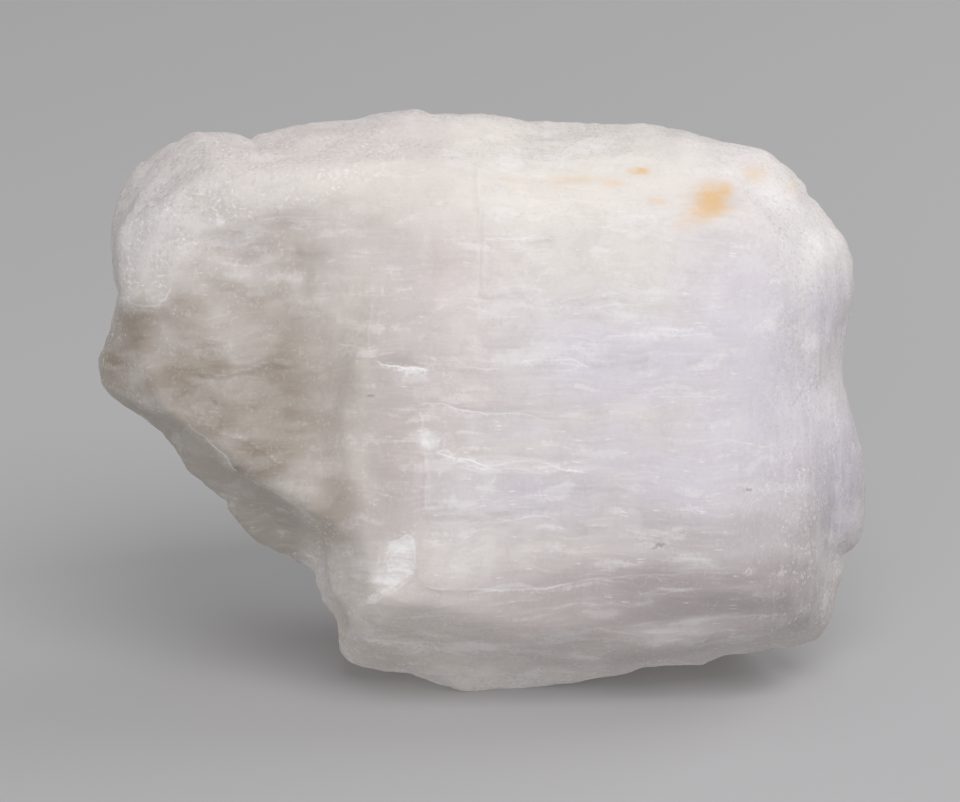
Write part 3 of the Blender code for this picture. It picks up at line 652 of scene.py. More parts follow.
def depth_inside(x, z, outline):
    """How far each point lies inside a closed outline, negative outside it."""
    nearest = np.full(len(x), np.inf)
    inside = np.zeros(len(x), bool)
    for start, end in zip(outline, outline[1:] + outline[:1]):
        nearest = np.minimum(nearest, segment_gaps(x, z, start, end)[0])
        if start[1] != end[1]:
            crosses = (start[1] > z) != (end[1] > z)
            slope = (end[0] - start[0]) / (end[1] - start[1])
            inside ^= crosses & (x < start[0] + (z - start[1]) * slope)
    return np.where(inside, nearest, -nearest)


def patch_inside(x, z, outline, width):
    """1 inside a closed outline and 0 outside it, with an edge of the given width."""
    return eased(depth_inside(x, z, outline) / width + 0.5)


def ledge_place(x, z, line):
    """How far left of a broken line each point lies, and 1 along the line, 0 past its ends."""
    spans = list(zip(line, line[1:]))
    nearest = np.full(len(x), np.inf)
    left = np.zeros(len(x))
    place = np.zeros(len(x))
    for number, (start, end) in enumerate(spans):
        gap, to_left, share = segment_gaps(x, z, start, end)
        # Of two spans that meet at the nearest corner, the one more squarely faced gives the side.
        rank = gap - 1e-6 * np.abs(to_left)
        closer = rank < nearest
        nearest = np.where(closer, rank, nearest)
        left = np.where(closer, np.copysign(gap, to_left), left)
        place = np.where(closer, (number + share) / len(spans), place)
    return left, eased(4.0 * place) * eased(4.0 * (1.0 - place))


def ledge_rise(x, z, line, step, reach, edge):
    """A step along a broken line, that dies out at both ends and sinks back behind its edge."""
    left, taper = ledge_place(x, z, line)
    return step * taper * eased(left / edge + 0.5) * np.exp(-np.maximum(left, 0.0) / reach)


def swell(points, size, seed):
    """Smooth noise from about -1 to 1 at each point, with features of the given size in mm."""
    offset = Vector((seed, -seed, 2.3 * seed))
    return np.array([noise.noise(Vector(point) / size + offset) for point in points])


def field(points, name):
    """One of the named fields of smooth noise at each point."""
    size, seed, *squeeze = FIELDS[name]
    return swell(points * squeeze[0] if squeeze else points, size, seed)


def curls(places, seed, octaves):
    """Noise from about -1 to 1 with finer and finer detail, on places already scaled."""
    offset = Vector((seed, -seed, 2.3 * seed))
    return np.array(
        [noise.fractal(Vector(place) + offset, CURL_FADE, CURL_FINER, octaves) for place in places]
    )


def blocks(places):
    """A random value from 0 to 1 for the cleavage block that each place lies in."""
    sizes = "CHEBYCHEV"
    centres = [noise.voronoi(Vector(place), distance_metric=sizes)[1][0] for place in places]
    return np.array([noise.cell(centre * BLOCK_SCATTER) for centre in centres])


def lumps(x, z, table):
    """The rise of a table's lumps and dents at each point."""
    rise = np.zeros(len(x))
    for (at_x, at_z), radius, height in table:
        rise += height * np.exp(-((x - at_x) ** 2 + (z - at_z) ** 2) / (0.5 * radius**2))
    return rise


def scales(level, lip):
    """A saw-tooth from 0 to 1 per scale: a slow rise downwards, and a steep lower lip."""
    place = level - np.floor(level)
    return np.minimum(place / lip, (1.0 - place) / (1.0 - lip))


def gathered(level, spacing, share):
    """How far each level moves towards its nearest cleavage step, by a share of the way."""
    place = level / spacing
    off = place - np.floor(place) - 0.5
    flat = 4.0 * off**3
    return (flat - off) * spacing * share


def mesh_points(mesh):
    points = np.empty(len(mesh.vertices) * 3)
    mesh.vertices.foreach_get("co", points)
    return points.reshape(-1, 3)


def mesh_normals(mesh):
    normals = np.empty(len(mesh.vertices) * 3, np.float32)
    mesh.vertex_normals.foreach_get("vector", normals)
    return normals.reshape(-1, 3).astype(float)


def put_points(mesh, points):
    mesh.vertices.foreach_set("co", points.ravel())
    mesh.update()


def carve(stone, shape):
    """Steps the front and the back along Y, and roughens the side walls across it."""
    mesh = stone.data
    points = mesh_points(mesh)
    x, y, z = points.T.copy()
    edge = shape.edge_width / MM

    broad, middle, grain, ragged = (
        field(points, name) for name in ("broad", "middle", "grain", "ragged")
    )
    edge_x = x + EDGE_WANDER * (1.2 * field(points, "edge to the right") + 0.8 * grain)
    edge_z = z + EDGE_WANDER * (field(points, "edge up") + 0.7 * ragged)

    scale_level = z / SCALE_SPACING + 0.5 * broad + 0.45 * middle
    scaly = eased(0.55 + 1.3 * field(points, "scaly")) * scales(scale_level, SCALE_LIP)
    shingle_level = z / (shape.shingle_spacing / MM) + 1.1 * grain + 0.9 * middle + 0.35 * ragged
    shingle_share = eased(0.5 + 1.6 * field(points, "shingly"))
    shingly = shape.shingle_rise / MM * shingle_share * scales(shingle_level, SHINGLE_LIP)
    uneven = SWELL_RISE * broad + GRAIN_RISE * grain

    front_rise = uneven + shape.scale_rise / MM * scaly + shingly + lumps(x, z, FRONT_LUMPS)
    back_rise = uneven * BACK_ROUGHNESS + shape.back_scale_rise / MM * scaly
    back_rise += BACK_SHINGLES * shingly
    back_rise += lumps(x, z, BACK_LUMPS)
    for outline, step, width in PATCHES.values():
        front_rise += step * patch_inside(edge_x, edge_z, outline, width)
    for rise, ledges in ((front_rise, FRONT_LEDGES), (back_rise, BACK_LEDGES)):
        for line, step, reach in ledges.values():
            rise += ledge_rise(edge_x, edge_z, line, step, reach, edge)
    in_front = eased((-y - FACE_MARGIN) / FRONT_RAMP)
    in_back = eased((y - FACE_MARGIN) / BACK_RAMP)
    points[:, 1] += in_back * back_rise - in_front * front_rise

    from_rim = y + RIM_FORWARD + RIM_WANDER * middle
    behind = np.maximum(from_rim - RIM_HALF, 0.0)
    ahead = np.maximum(-from_rim - RIM_HALF, 0.0)
    wall = eased((behind + ahead) / WALL_RAMP)
    drawn = BACK_DRAFT * behind + FRONT_DRAFT * ahead
    stepped = gathered(y + SIDE_STEP_WANDER * broad, SIDE_STEP, BACK_DRAFT)
    drawn += wall * eased(behind / SIDE_STEP_RAMP) * stepped
    drawn += wall * SIDE_SWELL * (0.8 + broad + 0.5 * grain)
    nick = shape.nick_size / MM
    coarse_seed, fine_seed = NICK_SEEDS
    nicked = 0.5 + swell(points * (1.0, 0.5, 1.0), nick, coarse_seed)
    nicked += 0.5 * swell(points, 0.4 * nick, fine_seed)
    drawn += shape.nick_depth / MM * nicked + lumps(x, z, NOTCHES)
    drawn *= 1.0 - eased(depth_inside(x, z, OUTLINE) / RIM_DEPTH)
    inward = drawn / HALF_WIDTH
    points[:, 0] *= 1.0 - inward
    points[:, 2] *= 1.0 - WIDTH_TO_HEIGHT * inward
    put_points(mesh, points)


def soften(stone, cell):
    """Rounds the front off at the right end, in the skirt, and along the hollow's right side."""
    x, y, z = mesh_points(stone.data).T
    right_end = eased((x - 28.0) / 7.0)
    valley = hill(x, z, (-17.0, 6.0), (4.0, 12.0))
    skirt = eased((x + 2.0) / 12.0) * eased((-17.0 - z) / 4.0)
    share = np.maximum(np.maximum(right_end, valley), 0.9 * skirt) * eased((-y - 3.0) / 4.0)
    smooth(stone, SOFT_SMOOTHINGS, cell, np.where(share > 0.01, share, 0.0))


def sugar(points, normals):
    """How sugary each point is: the shoulder, the right end, the sides and the back more so."""
    x, y, z = points.T
    on_side = 1.0 - eased((np.abs(normals[:, 1]) - 0.35) / 0.4)
    shoulder = hill(x, z, (-40.0, 26.0), (12.0, 10.0))
    right_end = eased((x - 33.0) / 9.0)
    behind = eased(y / 12.0)
    return np.clip(0.2 + 0.6 * on_side + 0.5 * shoulder + 0.8 * right_end + 0.5 * behind, 0.0, 1.3)


def roughen(stone, shape):
    """Raises the sugary grain along the skin's normals."""
    mesh = stone.data
    points = mesh_points(mesh)
    normals = mesh_normals(mesh)
    size = shape.grain_size / MM
    fine_seed, coarse_seed = GRAIN_SEEDS
    grain = swell(points, size, fine_seed) + 0.6 * swell(points, 2.1 * size, coarse_seed)
    streaks = 0.7 * eased((points[:, 0] - 32.0) / 10.0) * field(points, "sugary streaks")
    sugary = np.minimum(sugar(points, normals), 0.8)
    rise = shape.grain_rise / MM * sugary * (grain + streaks)
    put_points(mesh, points + normals * rise[:, None])


def thinned(stone, triangles):
    """Collapses the skin's edges until it has no more than the given number of triangles."""
    faces = sum(len(polygon.vertices) - 2 for polygon in stone.data.polygons)
    if faces > triangles:
        ratio = triangles / faces
        apply_modifier(stone, "DECIMATE", ratio=ratio, use_collapse_triangulate=True)


def ridge_sharpness(mesh, points, normals):
    """How far each vertex stands out of its neighbours' middle along its normal, in mm."""
    ends = np.empty(len(mesh.edges) * 2, np.int32)
    mesh.edges.foreach_get("vertices", ends)
    a, b = ends.reshape(-1, 2).T
    count = len(points)
    near = np.bincount(a, minlength=count) + np.bincount(b, minlength=count)
    middle = np.empty_like(points)
    for axis in range(3):
        total = np.bincount(a, points[b, axis], count) + np.bincount(b, points[a, axis], count)
        middle[:, axis] = total / np.maximum(near, 1)
    return ((points - middle) * normals).sum(1)


def store(mesh, name, values):
    """Stores a value from -1 to 1 at each vertex, for the material to read."""
    attribute = mesh.attributes.new(name, "FLOAT", "POINT")
    attribute.data.foreach_set("value", np.clip(values, -1.0, 1.0).astype(np.float32))


def cloud(x, z, table):
    """The strongest of a table's soft ovals at each point."""
    strength = np.zeros(len(x))
    for at_x, at_z, half_x, half_z, top in table:
        strength = np.maximum(strength, top * hill(x, z, (at_x, at_z), (half_x, half_z)))
    return strength


def hairlines(x, z):
    """How far left of the nearest hairline ledge each point lies, and the frost's strength."""
    nearest = np.full(len(x), HAIR_REACH)
    signed = np.full(len(x), HAIR_REACH)
    strength = np.zeros(len(x))
    for line, frost in HAIR_LEDGES.values():
        left, along = ledge_place(x, z, line)
        closer = (np.abs(left) < nearest) & (along > 0.0)
        nearest = np.where(closer, np.abs(left), nearest)
        signed = np.where(closer, left, signed)
        strength = np.where(closer, frost * eased(3.0 * along), strength)
    return signed, strength


def paint(stone):
    """Stores the soft clouds of tint and painted shade and light, the frost and grain as
    attributes.
    """
    mesh = stone.data
    points = mesh_points(mesh)
    normals = mesh_normals(mesh)
    x, y, z = points.T
    broad = field(points, "broad clouds")
    grain = field(points, "small clouds")
    ragged = field(points, "ragged clouds")
    front = eased((2.0 - y) / 10.0)
    elsewhere = 1.0 - front

    # The soft tints, whose places wander. Rust and frost keep more to their own.
    soft_x = x + 2.0 * broad + 1.2 * grain
    soft_z = z + 1.6 * broad + 1.0 * grain
    tints = {name: cloud(soft_x, soft_z, table) for name, table in CLOUDS.items()}
    tints["stain"] = cloud(x + 0.5 * ragged, z + 0.4 * ragged, CLOUDS["stain"])
    frost_x = x + 1.2 * ragged + grain
    tints["frost"] = cloud(frost_x, z + 0.5 * grain + 0.3 * ragged, CLOUDS["frost"])
    tints["cloudy"] = np.zeros(len(x))
    tints["granular"] = eased((x - 36.0 - 2.0 * grain) / 6.0)
    for name, strength, width, outline in PLATES:
        inside = patch_inside(x + 0.5 * ragged, z + 0.5 * ragged, outline, width)
        tints[name] = np.maximum(tints[name], strength * inside)
    for number, (name, tint) in enumerate(tints.items()):
        tint = front * tint
        if name in TINTS_BEHIND:
            patches = eased(0.1 + 1.3 * swell(points, TINT_PATCH, TINT_SEED * number))
            tint += elsewhere * TINTS_BEHIND[name] * patches
        store(mesh, name, tint)

    # Painted shade on what faces down behind the show face, and the under-bevel, partly clearer
    # stone.
    under = eased((-normals[:, 2] - 0.25) / 0.6)
    below_rim, _ = ledge_place(x + 0.3 * ragged, z + 0.4 * grain, BEVEL_RIM)
    bevel = eased(0.5 - below_rim / 1.2) * eased((-21.0 - x) / 4.0) * (z < 6.0)
    store(mesh, "smoke", np.maximum(0.4 * under * elsewhere, bevel))

    sharp = ridge_sharpness(mesh, points, normals)
    sharp /= np.percentile(np.abs(sharp), 97.0)
    store(mesh, "ridge", sharp)

    lip, strength = hairlines(x + 0.3 * grain + 0.15 * ragged, z + 0.3 * ragged)
    patchy = eased(0.5 + 1.2 * field(points, "patchy frost"))
    store(mesh, "lip", LIP_SHARE * lip)
    store(mesh, "lip_frost", front * strength * (0.35 + 0.65 * patchy))

    # The fine patterns follow layers that drift up and down.
    drift = 1.2 * broad + 0.7 * grain + 0.35 * field(points, "drift")
    drifted = points.copy()
    drifted[:, 2] += drift
    store(mesh, "drift", DRIFT_SHARE * drift)
    store(mesh, "wispy", eased(0.45 + 1.1 * field(points, "wispy")))
    store(mesh, "wisp", 0.5 + 0.5 * curls(drifted * WISPS_PER_MM, *WISP_CURLS))
    store(mesh, "curd", 0.5 + 0.5 * curls(points * CURDS_PER_MM, *CURD_CURLS))
    store(mesh, "block", blocks(drifted * BLOCKS_PER_MM))
    store(mesh, "upright", front * eased((x - 33.0 - 2.0 * grain) / 5.0))
    store(mesh, "sugar", sugar(points, normals))


def resting_level(lean):
    """How high the foot's front lies once the stone leans back, in mm."""
    foot_y, foot_z = FOOT
    return (Matrix.Rotation(-lean, 4, "X") @ Vector((0.0, foot_y, foot_z))).z


def stand_up(stone, lean):
    """Leans the stone back, cuts the resting face, and puts it in the part's frame, in metres."""
    turn = Matrix.Rotation(-lean, 4, "X")
    floor = resting_level(lean)
    bm = bmesh.new()
    bm.from_mesh(stone.data)
    bmesh.ops.transform(bm, matrix=turn, verts=bm.verts)
    cut_away(bm, (0.0, 0.0, floor), (0.0, 0.0, -1.0))
    bmesh.ops.transform(bm, matrix=Matrix.Translation((0.0, 0.0, -floor)), verts=bm.verts)
    bmesh.ops.scale(bm, vec=(MM,) * 3, verts=bm.verts)
    bmesh.ops.triangulate(bm, faces=[face for face in bm.faces if len(face.verts) > 3])
    for face in bm.faces:
        face.smooth = face.calc_center_median().z > FLAT_BELOW
    bm.to_mesh(stone.data)
    bm.free()


# ---------------------------------------------------------------- materials

# How fine the patterns are, in features per mm, some of them by X, Y and Z.
CRUMBS_PER_MM = 1.9
STREAKS_PER_MM = (0.16, 0.2, 2.2)
FACETS_PER_MM = (0.5, 0.7, 3.0)
CRUMB_OFFSET = 41.0

# How light bends at the skin and travels inside, by red, green and blue.
BENDING = 1.34
LIGHT_REACH = (1.0, 0.9, 0.84)

# The tints, painted shade and painted light that lie in clouds, in the order they cover each other.
TINT_ORDER = ("cloudy", "rose", "cream", "lavender", "shade", "khaki", "smoke")

# What paint() stores and the finish reads, apart from the other tints.
SKIN_MASKS = (
    "sugar", "wispy", "wisp", "curd", "block", "upright", "ridge", "lip", "lip_frost",
    "frost", "granular", "stain", "khaki", "smoke",
)

SPAN_ENDS = ("From Min", "From Max", "To Min", "To Max")
SPECK_SQUEEZE = 0.4  # a speck's height as a share of its length
SPECK_CORE = 0.4  # share of its radius where it is full
SPECK_STRENGTH = 0.5


class Tree:
    """Short ways to add nodes to a node tree and join them."""

    def __init__(self, tree):
        self.tree = tree

    def feed(self, socket, value):
        """Joins an output to the socket, or sets its value."""
        if isinstance(value, bpy.types.NodeSocket):
            self.tree.links.new(value, socket)
        else:
            socket.default_value = value

    def node(self, kind, inputs=None, **settings):
        """Adds a node, feeds its inputs by their names or numbers, and gives its outputs."""
        node = self.tree.nodes.new("ShaderNode" + kind)
        for name, value in settings.items():
            setattr(node, name, value)
        for name, value in (inputs or {}).items():
            self.feed(node.inputs[name], value)
        return node.outputs

    def math(self, operation, a, b=0.0, clamp=False):
        return self.node("Math", {0: a, 1: b}, operation=operation, use_clamp=clamp)[0]

    def plus(self, a, b):
        return self.math("ADD", a, b)

    def minus(self, a, b, clamp=False):
        return self.math("SUBTRACT", a, b, clamp)

    def times(self, a, b, clamp=False):
        return self.math("MULTIPLY", a, b, clamp)

    def most(self, a, b):
        return self.math("MAXIMUM", a, b)

    def span(self, value, low, high, to_low=0.0, to_high=1.0, smooth=True):
        """Maps low..high to to_low..to_high."""
        inputs = {"Value": value} | dict(zip(SPAN_ENDS, (low, high, to_low, to_high)))
        kind = "SMOOTHSTEP" if smooth else "LINEAR"
        return self.node("MapRange", inputs, interpolation_type=kind)["Result"]

    def tint(self, base, colour, share):
        """Mixes a colour over the base by a share."""
        return self.node("Mix", {0: share, 6: base, 7: colour}, data_type="RGBA")[2]

    def attribute(self, name):
        return self.node("Attribute", attribute_name=name)["Fac"]

    def mapped(self, place, **changes):
        """A place moved, turned or scaled."""
        return self.node("Mapping", {"Vector": place, **changes})[0]

    def noise(self, place, scale, detail, roughness):
        """Noise on a place, with the scale in features per mm."""
        inputs = {"Vector": place, "Scale": scale, "Detail": detail, "Roughness": roughness}
        return self.node("TexNoise", inputs)["Fac"]

    def cells(self, place):
        """The nearest cell of a place: how far it is, a random value, and a random vector."""
        nearest = self.node("TexVoronoi", {"Vector": place, "Scale": 1.0})
        value = self.node("SeparateColor", {0: nearest["Color"]})[0]
        return nearest["Distance"], value, nearest["Color"]

    def combined(self, x=0.0, z=0.0):
        """A vector of an X and a Z."""
        return self.node("CombineXYZ", {"X": x, "Z": z})[0]

    def vector(self, operation, a, b=(0.0, 0.0, 0.0)):
        outputs = self.node("VectorMath", {0: a, 1: b}, operation=operation)
        return outputs["Value" if operation == "DISTANCE" else "Vector"]

    def scaled(self, vector, size):
        return self.node("VectorMath", {0: vector, "Scale": size}, operation="SCALE")["Vector"]

    def turned(self, place, share):
        """The place with its right and up swapped by a share, so that streaks stand upright."""
        upright = self.mapped(place, Rotation=(0.0, math.radians(90), 0.0))
        return self.node("Mix", {0: share, 4: place, 5: upright}, data_type="VECTOR")[1]


class Layers:
    """The finish's colours, laid over each other from the milky one up."""

    def __init__(self, tree, finish):
        self.tree = tree
        self.finish = finish
        self.colour = rgba(finish.milky)

    def lay(self, name, share):
        """Lays one of the finish's colours over the rest by a share."""
        self.colour = self.tree.tint(self.colour, rgba(getattr(self.finish, name)), share)


def rgba(colour):
    return (*colour, 1.0)


def stone_places(tree, shape):
    """The place in the stone's own frame in mm, and the same place drifting with the layers."""
    turn = Matrix.Rotation(shape.lean, 4, "X")
    place = tree.mapped(
        tree.node("TexCoord")["Object"],
        Scale=(1.0 / MM,) * 3,
        Rotation=(shape.lean, 0.0, 0.0),
        Location=turn @ Vector((0.0, 0.0, resting_level(shape.lean))),
    )
    drift = tree.times(tree.attribute("drift"), 1.0 / DRIFT_SHARE)
    return place, tree.vector("ADD", place, tree.combined(z=drift))


def skin_patterns(tree, shape):
    """The stored masks and the fine patterns that the finish is made of."""
    skin = SimpleNamespace(**{name: tree.attribute(name) for name in SKIN_MASKS})
    skin.place, drifted = stone_places(tree, shape)
    crumb_place = tree.mapped(skin.place, Location=(CRUMB_OFFSET, 0.0, -CRUMB_OFFSET))
    skin.crumbs = tree.noise(crumb_place, CRUMBS_PER_MM, 3.0, 0.75)
    streak_place = tree.mapped(tree.turned(drifted, skin.upright), Scale=STREAKS_PER_MM)
    skin.lines = tree.noise(streak_place, 1.0, 2.0, 0.6)
    skin.gap, skin.pick, skin.facet = tree.cells(tree.mapped(drifted, Scale=FACETS_PER_MM))

    # The same two patterns about zero, and added up.
    skin.grit = tree.minus(skin.crumbs, 0.5)
    skin.sway = tree.minus(skin.lines, 0.5)
    skin.fine = tree.plus(tree.times(skin.lines, 0.35), tree.times(skin.crumbs, 0.35))

    # How far an edge strays, where the flecks are, and where the streaks and wisps are strong.
    skin.wander = tree.times(skin.grit, 0.55)
    curdled = tree.span(skin.curd, 0.44, 0.58, 0.25, 1.0)
    skin.fleck = tree.times(tree.span(skin.crumbs, 0.53, 0.64), curdled)
    even = tree.span(skin.granular, 0.0, 1.0, 1.0, 0.3)
    skin.calm = tree.times(even, tree.span(skin.khaki, 0.15, 0.7, 1.0, 0.2))
    return skin


def lay_tints(layers, tree, skin):
    """The curds, and the clouds of tint, painted shade and painted light."""
    layers.lay("cloudy", tree.span(skin.curd, 0.42, 0.62))
    patchy = tree.span(skin.wisp, 0.35, 0.65, 1.0, 0.86)
    for name in TINT_ORDER:
        layers.lay(name, tree.times(tree.attribute(name), patchy, clamp=True))


def lay_cleavage(layers, tree, skin):
    """Blocks and fine streaks inside the stone, darker and lighter in turn."""
    layers.lay("smoke", tree.span(skin.block, 0.5, 0.0, 0.0, 0.06, smooth=False))
    layers.lay("frost", tree.span(skin.block, 0.5, 1.0, 0.0, 0.10, smooth=False))
    streaky = tree.most(tree.times(skin.upright, 1.5), tree.span(skin.calm, 0.2, 1.0, 0.45, 1.0))
    layers.lay("smoke", tree.times(tree.span(skin.lines, 0.30, 0.50, 0.055, 0.0), streaky))
    layers.lay("frost", tree.times(tree.span(skin.lines, 0.52, 0.72, 0.0, 0.10), streaky))


def lay_wisps(layers, tree, skin, whiteness):
    """Milky wisps where cracks let air in, and short bright dashes. The frosty stone has more."""
    reach = tree.plus(tree.times(skin.wispy, 0.06), tree.times(skin.frost, 0.24))
    veil = tree.span(tree.plus(tree.plus(skin.wisp, reach), skin.fine), 0.98, 1.20)
    layers.lay("frost", tree.times(veil, tree.times(skin.calm, whiteness)))

    chance = tree.plus(tree.times(skin.wispy, 0.05), tree.times(skin.frost, 0.36))
    chance = tree.minus(chance, tree.times(skin.khaki, 0.06))
    chosen = tree.span(tree.plus(skin.pick, chance), 0.94, 0.98)
    dash = tree.times(chosen, tree.span(skin.gap, 0.42, 0.12))
    broken = tree.times(skin.calm, tree.span(skin.crumbs, 0.40, 0.58, 0.1, 0.55))
    layers.lay("frost", tree.times(dash, broken))


def lay_sugar(layers, tree, skin, whiteness):
    """Sugary flecks, the clearer stone between them, and solid frost."""
    amount = tree.most(tree.times(skin.sugar, 1.1), tree.most(skin.frost, skin.granular))
    amount = tree.times(amount, tree.span(skin.smoke, 0.2, 1.0, whiteness, 0.1))
    layers.lay("frost", tree.times(skin.fleck, amount, clamp=True))
    between = tree.span(skin.crumbs, 0.47, 0.34)
    layers.lay("smoke", tree.times(between, tree.times(skin.sugar, 0.44)))
    solid = tree.span(skin.frost, 0.35, 1.0, 0.0, 0.7)
    layers.lay("frost", tree.times(solid, tree.span(skin.fine, 0.28, 0.42, 0.5, 1.0)))


def lay_ledges(layers, tree, skin):
    """Hairline ledges with a bright edge and frost on the sunken side, and the skin's ridges."""
    lip = tree.plus(tree.times(skin.lip, 1.0 / LIP_SHARE), skin.wander)
    edge = tree.span(tree.math("ABSOLUTE", lip), 0.04, 0.20, 0.95, 0.0)
    sunken = tree.times(tree.span(lip, -1.2, -0.05), tree.span(lip, 0.0, 0.1, 1.0, 0.0))
    sunken = tree.times(sunken, tree.span(skin.fine, 0.30, 0.42, 0.08, 0.45))
    layers.lay("frost", tree.times(tree.most(edge, sunken), skin.lip_frost, clamp=True))
    layers.lay("frost", tree.span(skin.ridge, 0.3, 1.0, 0.0, 0.22))


def lay_rust(layers, tree, skin):
    """Rusty spots with a ragged edge and a faint halo."""
    rust = tree.plus(skin.stain, tree.times(skin.sway, 0.7))
    rust = tree.span(tree.plus(rust, tree.times(skin.grit, 0.9)), 0.10, 1.05, 0.0, 0.85)
    layers.lay("stain", tree.times(rust, tree.span(skin.stain, 0.05, 0.3)))
    layers.lay("stain", tree.span(skin.stain, 0.0, 0.6, 0.0, 0.14))


def lay_specks(layers, tree, skin):
    """Dark pits, most of them in the hollow, and the specks that have their own places."""
    in_hollow = tree.span(skin.khaki, 0.2, 0.8, 0.04, 0.45)
    layers.lay("speck", tree.times(tree.span(skin.crumbs, 0.34, 0.27), in_hollow))
    flat = tree.vector("MULTIPLY", skin.place, (SPECK_SQUEEZE, 0.0, 1.0))
    for (at_x, at_z), radius in SPECKS:
        gap = tree.vector("DISTANCE", flat, (SPECK_SQUEEZE * at_x, 0.0, at_z))
        gap = tree.plus(gap, skin.wander)
        layers.lay("speck", tree.span(gap, radius, SPECK_CORE * radius, 0.0, SPECK_STRENGTH))


def fine_relief(tree, skin, strength):
    """The skin's normal, tilted up and down by the streaks, and any way by the grain's facets."""
    grit = tree.times(skin.grit, tree.span(skin.sugar, 0.0, 1.0, 0.3, 1.1))
    tilt = tree.combined(x=grit, z=tree.minus(tree.times(skin.sway, 0.8), grit))
    facet = tree.vector("SUBTRACT", skin.facet, (0.5, 0.5, 0.5))
    facet = tree.scaled(facet, tree.times(skin.sugar, 0.12))
    tilt = tree.scaled(tree.vector("ADD", tilt, facet), strength)
    normal = tree.node("NewGeometry")["Normal"]
    return tree.vector("NORMALIZE", tree.vector("ADD", normal, tilt))


def stone_material(shape, finish):
    """Milky, greasy-looking cryolite with clouds, wisps, hairline ledges, rust and sugary frost."""
    material = bpy.data.materials.new("milky_cryolite")
    material.use_nodes = True
    shader = material.node_tree.nodes["Principled BSDF"]
    tree = Tree(material.node_tree)
    skin = skin_patterns(tree, shape)

    layers = Layers(tree, finish)
    lay_tints(layers, tree, skin)
    lay_cleavage(layers, tree, skin)
    lay_wisps(layers, tree, skin, finish.wisps)
    lay_sugar(layers, tree, skin, finish.flecks)
    lay_ledges(layers, tree, skin)
    lay_rust(layers, tree, skin)
    lay_specks(layers, tree, skin)
    tree.feed(shader.inputs["Base Color"], layers.colour)

    gloss = tree.span(skin.lines, 0.35, 0.65, -0.07, 0.08, smooth=False)
    gloss = tree.plus(finish.roughness, gloss)
    gloss = tree.minus(gloss, tree.times(skin.fleck, 0.18), clamp=True)
    tree.feed(shader.inputs["Roughness"], gloss)
    tree.feed(shader.inputs["Normal"], fine_relief(tree, skin, finish.relief))
    shader.inputs["IOR"].default_value = BENDING
    shader.inputs["Metallic"].default_value = 0.0
    shader.subsurface_method = "BURLEY"
    shader.inputs["Subsurface Weight"].default_value = finish.clarity
    shader.inputs["Subsurface Radius"].default_value = LIGHT_REACH
    shader.inputs["Subsurface Scale"].default_value = finish.depth
    return material


def floor_material(stage):
    """A plain matt floor."""
    material = bpy.data.materials.new("studio_floor")
    material.use_nodes = True
    shader = material.node_tree.nodes["Principled BSDF"]
    shader.inputs["Base Color"].default_value = rgba(stage.floor)
    shader.inputs["Roughness"].default_value = 1.0
    shader.inputs["Specular IOR Level"].default_value = 0.0
    return material


# ---------------------------------------------------------------- operators

# In metres.
FLOOR_HALF = 4.0  # from the floor's middle to its edge
LIT_POINT = (0.0, 0.0, 0.035)  # what the lights face
CLIP_END = 20.0  # how far the camera sees
SENSOR_WIDTH = 36.0  # of the camera, in mm
VIEW_MIDDLE = (-0.46, 0.0, 0.13)  # of the picture, in the stone's own frame, in mm
SKY_COLOUR = (0.97, 0.955, 0.95)
WHITE = (1.0, 1.0, 1.0)

# The soft lights: where each hangs, its width and height, and its colour.
LIGHTS = {
    "key": ((0.25, -0.75, 0.95), (0.9, 0.7), (1.0, 0.985, 0.99)),
    "fill": ((-0.45, -1.25, 0.30), (1.0, 0.6), WHITE),
    "rim": ((0.60, 0.38, 0.52), (0.7, 0.4), WHITE),
}


class CRYOLITE_OT_stone(bpy.types.Operator):
    """Shape the stone, give it its finish, and put it in the CAD node's place"""

    bl_idname = "cryolite.stone"
    bl_label = "Stone"
    bl_options = {"REGISTER", "UNDO"}

    def execute(self, context):
        shape = context.scene.cryolite_shape
        cell = shape.skin_cell / MM
        stone = fused_stone("cryolite_stone", cell)
        carve(stone, shape)
        soften(stone, cell)
        roughen(stone, shape)
        thinned(stone, shape.triangles)
        paint(stone)
        stand_up(stone, shape.lean)
        stone.data.materials.clear()
        stone.data.materials.append(stone_material(shape, context.scene.cryolite_finish))
        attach(stone, "root")
        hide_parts(NODE)
        return {"FINISHED"}


def lay_floor(stage):
    """A flat floor under the stone."""
    bm = bmesh.new()
    bmesh.ops.create_grid(bm, x_segments=8, y_segments=8, size=FLOOR_HALF)
    mesh = bpy.data.meshes.new("floor")
    bm.to_mesh(mesh)
    bm.free()
    floor = bpy.data.objects.new("floor", mesh)
    bpy.context.scene.collection.objects.link(floor)
    floor.data.materials.append(floor_material(stage))
    # The floor is seen but throws nothing back, so the even light fills the underside.
    floor.visible_diffuse = False
    floor.visible_glossy = False
    floor.visible_shadow = False


def hang_light(name, place, size, power, colour):
    """A soft light that faces the stone."""
    light = bpy.data.lights.new(name, "AREA")
    light.shape = "RECTANGLE"
    light.size, light.size_y = size
    light.energy = power
    light.color = colour
    lamp = bpy.data.objects.new(name, light)
    lamp.location = place
    lamp.rotation_euler = (Vector(LIT_POINT) - Vector(place)).to_track_quat("-Z", "Y").to_euler()
    bpy.context.scene.collection.objects.link(lamp)


def light_sky(scene, strength):
    """Even light all round, and plain colours in the picture."""
    world = bpy.data.worlds.new("studio")
    world.use_nodes = True
    background = world.node_tree.nodes["Background"]
    background.inputs["Color"].default_value = rgba(SKY_COLOUR)
    background.inputs["Strength"].default_value = strength
    scene.world = world
    scene.view_settings.view_transform = "Standard"
    scene.view_settings.look = "None"


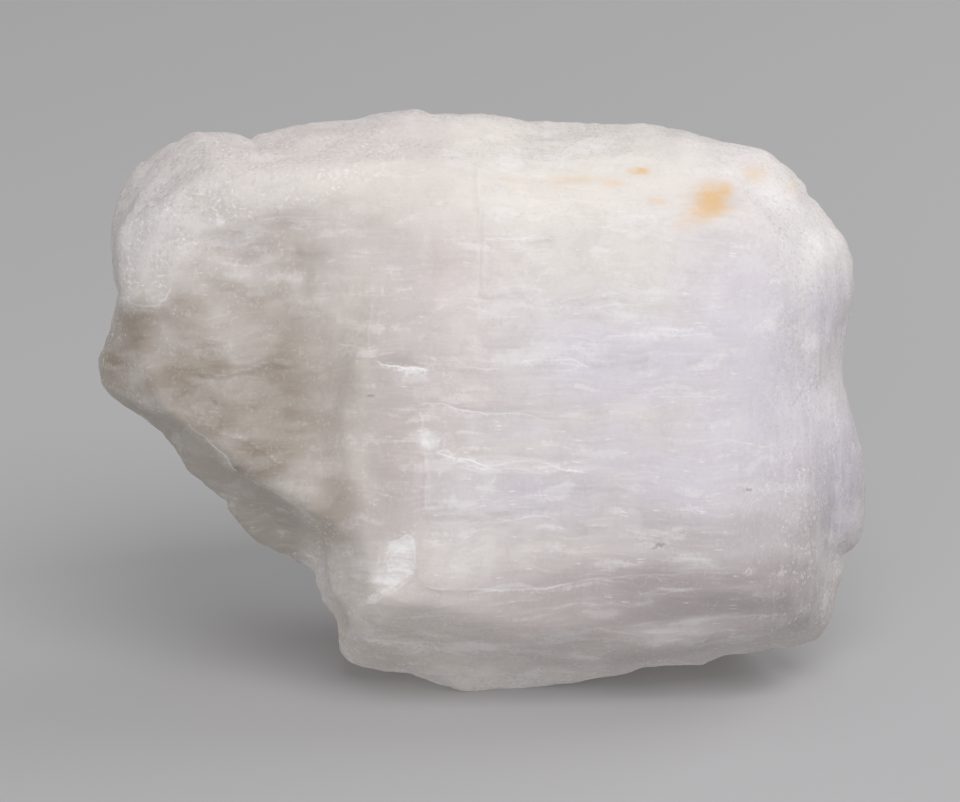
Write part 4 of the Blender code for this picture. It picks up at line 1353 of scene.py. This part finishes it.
def set_camera(scene, stage, lean):
    """A camera square to the show face."""
    turn = Matrix.Rotation(-lean, 4, "X")
    aim = (turn @ Vector(VIEW_MIDDLE) - Vector((0.0, 0.0, resting_level(lean)))) * MM
    back = turn @ Vector((0.0, -1.0, 0.0))
    camera_data = bpy.data.cameras.new("camera")
    camera_data.sensor_width = SENSOR_WIDTH
    camera_data.lens = SENSOR_WIDTH * stage.distance / stage.view_width
    camera_data.clip_end = CLIP_END
    camera = bpy.data.objects.new("camera", camera_data)
    camera.location = aim + back * stage.distance
    camera.rotation_euler = (-back).to_track_quat("-Z", "Y").to_euler()
    scene.collection.objects.link(camera)
    scene.camera = camera


class CRYOLITE_OT_stage(bpy.types.Operator):
    """Lay the floor, hang the soft lights and set the camera"""

    bl_idname = "cryolite.stage"
    bl_label = "Stage"
    bl_options = {"REGISTER", "UNDO"}

    def execute(self, context):
        scene = context.scene
        stage = scene.cryolite_stage
        lay_floor(stage)
        for name, (place, size, colour) in LIGHTS.items():
            hang_light(name, place, size, getattr(stage, name), colour)
        light_sky(scene, stage.sky)
        set_camera(scene, stage, scene.cryolite_shape.lean)
        return {"FINISHED"}


class CRYOLITE_PT_panel(bpy.types.Panel):
    """The specimen's sizes, colours and builders"""

    bl_idname = "CRYOLITE_PT_panel"
    bl_label = "Cryolite Specimen"
    bl_space_type = "VIEW_3D"
    bl_region_type = "UI"
    bl_category = "Cryolite"

    def draw(self, context):
        scene = context.scene
        for title, group, operator in (
            ("Shape", scene.cryolite_shape, None),
            ("Finish", scene.cryolite_finish, CRYOLITE_OT_stone.bl_idname),
            ("Stage", scene.cryolite_stage, CRYOLITE_OT_stage.bl_idname),
        ):
            box = self.layout.box()
            box.label(text=title)
            for name in type(group).__annotations__:
                box.prop(group, name)
            if operator:
                box.operator(operator)


CLASSES = (
    StoneShape, StoneFinish, StudioStage, CRYOLITE_OT_stone, CRYOLITE_OT_stage, CRYOLITE_PT_panel,
)


def register():
    for cls in CLASSES:
        bpy.utils.register_class(cls)
    bpy.types.Scene.cryolite_shape = PointerProperty(type=StoneShape)
    bpy.types.Scene.cryolite_finish = PointerProperty(type=StoneFinish)
    bpy.types.Scene.cryolite_stage = PointerProperty(type=StudioStage)


def unregister():
    del bpy.types.Scene.cryolite_stage
    del bpy.types.Scene.cryolite_finish
    del bpy.types.Scene.cryolite_shape
    for cls in reversed(CLASSES):
        bpy.utils.unregister_class(cls)


def main():
    """Builds the stone and the stage."""
    register()
    bpy.ops.cryolite.stone()
    bpy.ops.cryolite.stage()


if __name__ == "__main__":
    main()
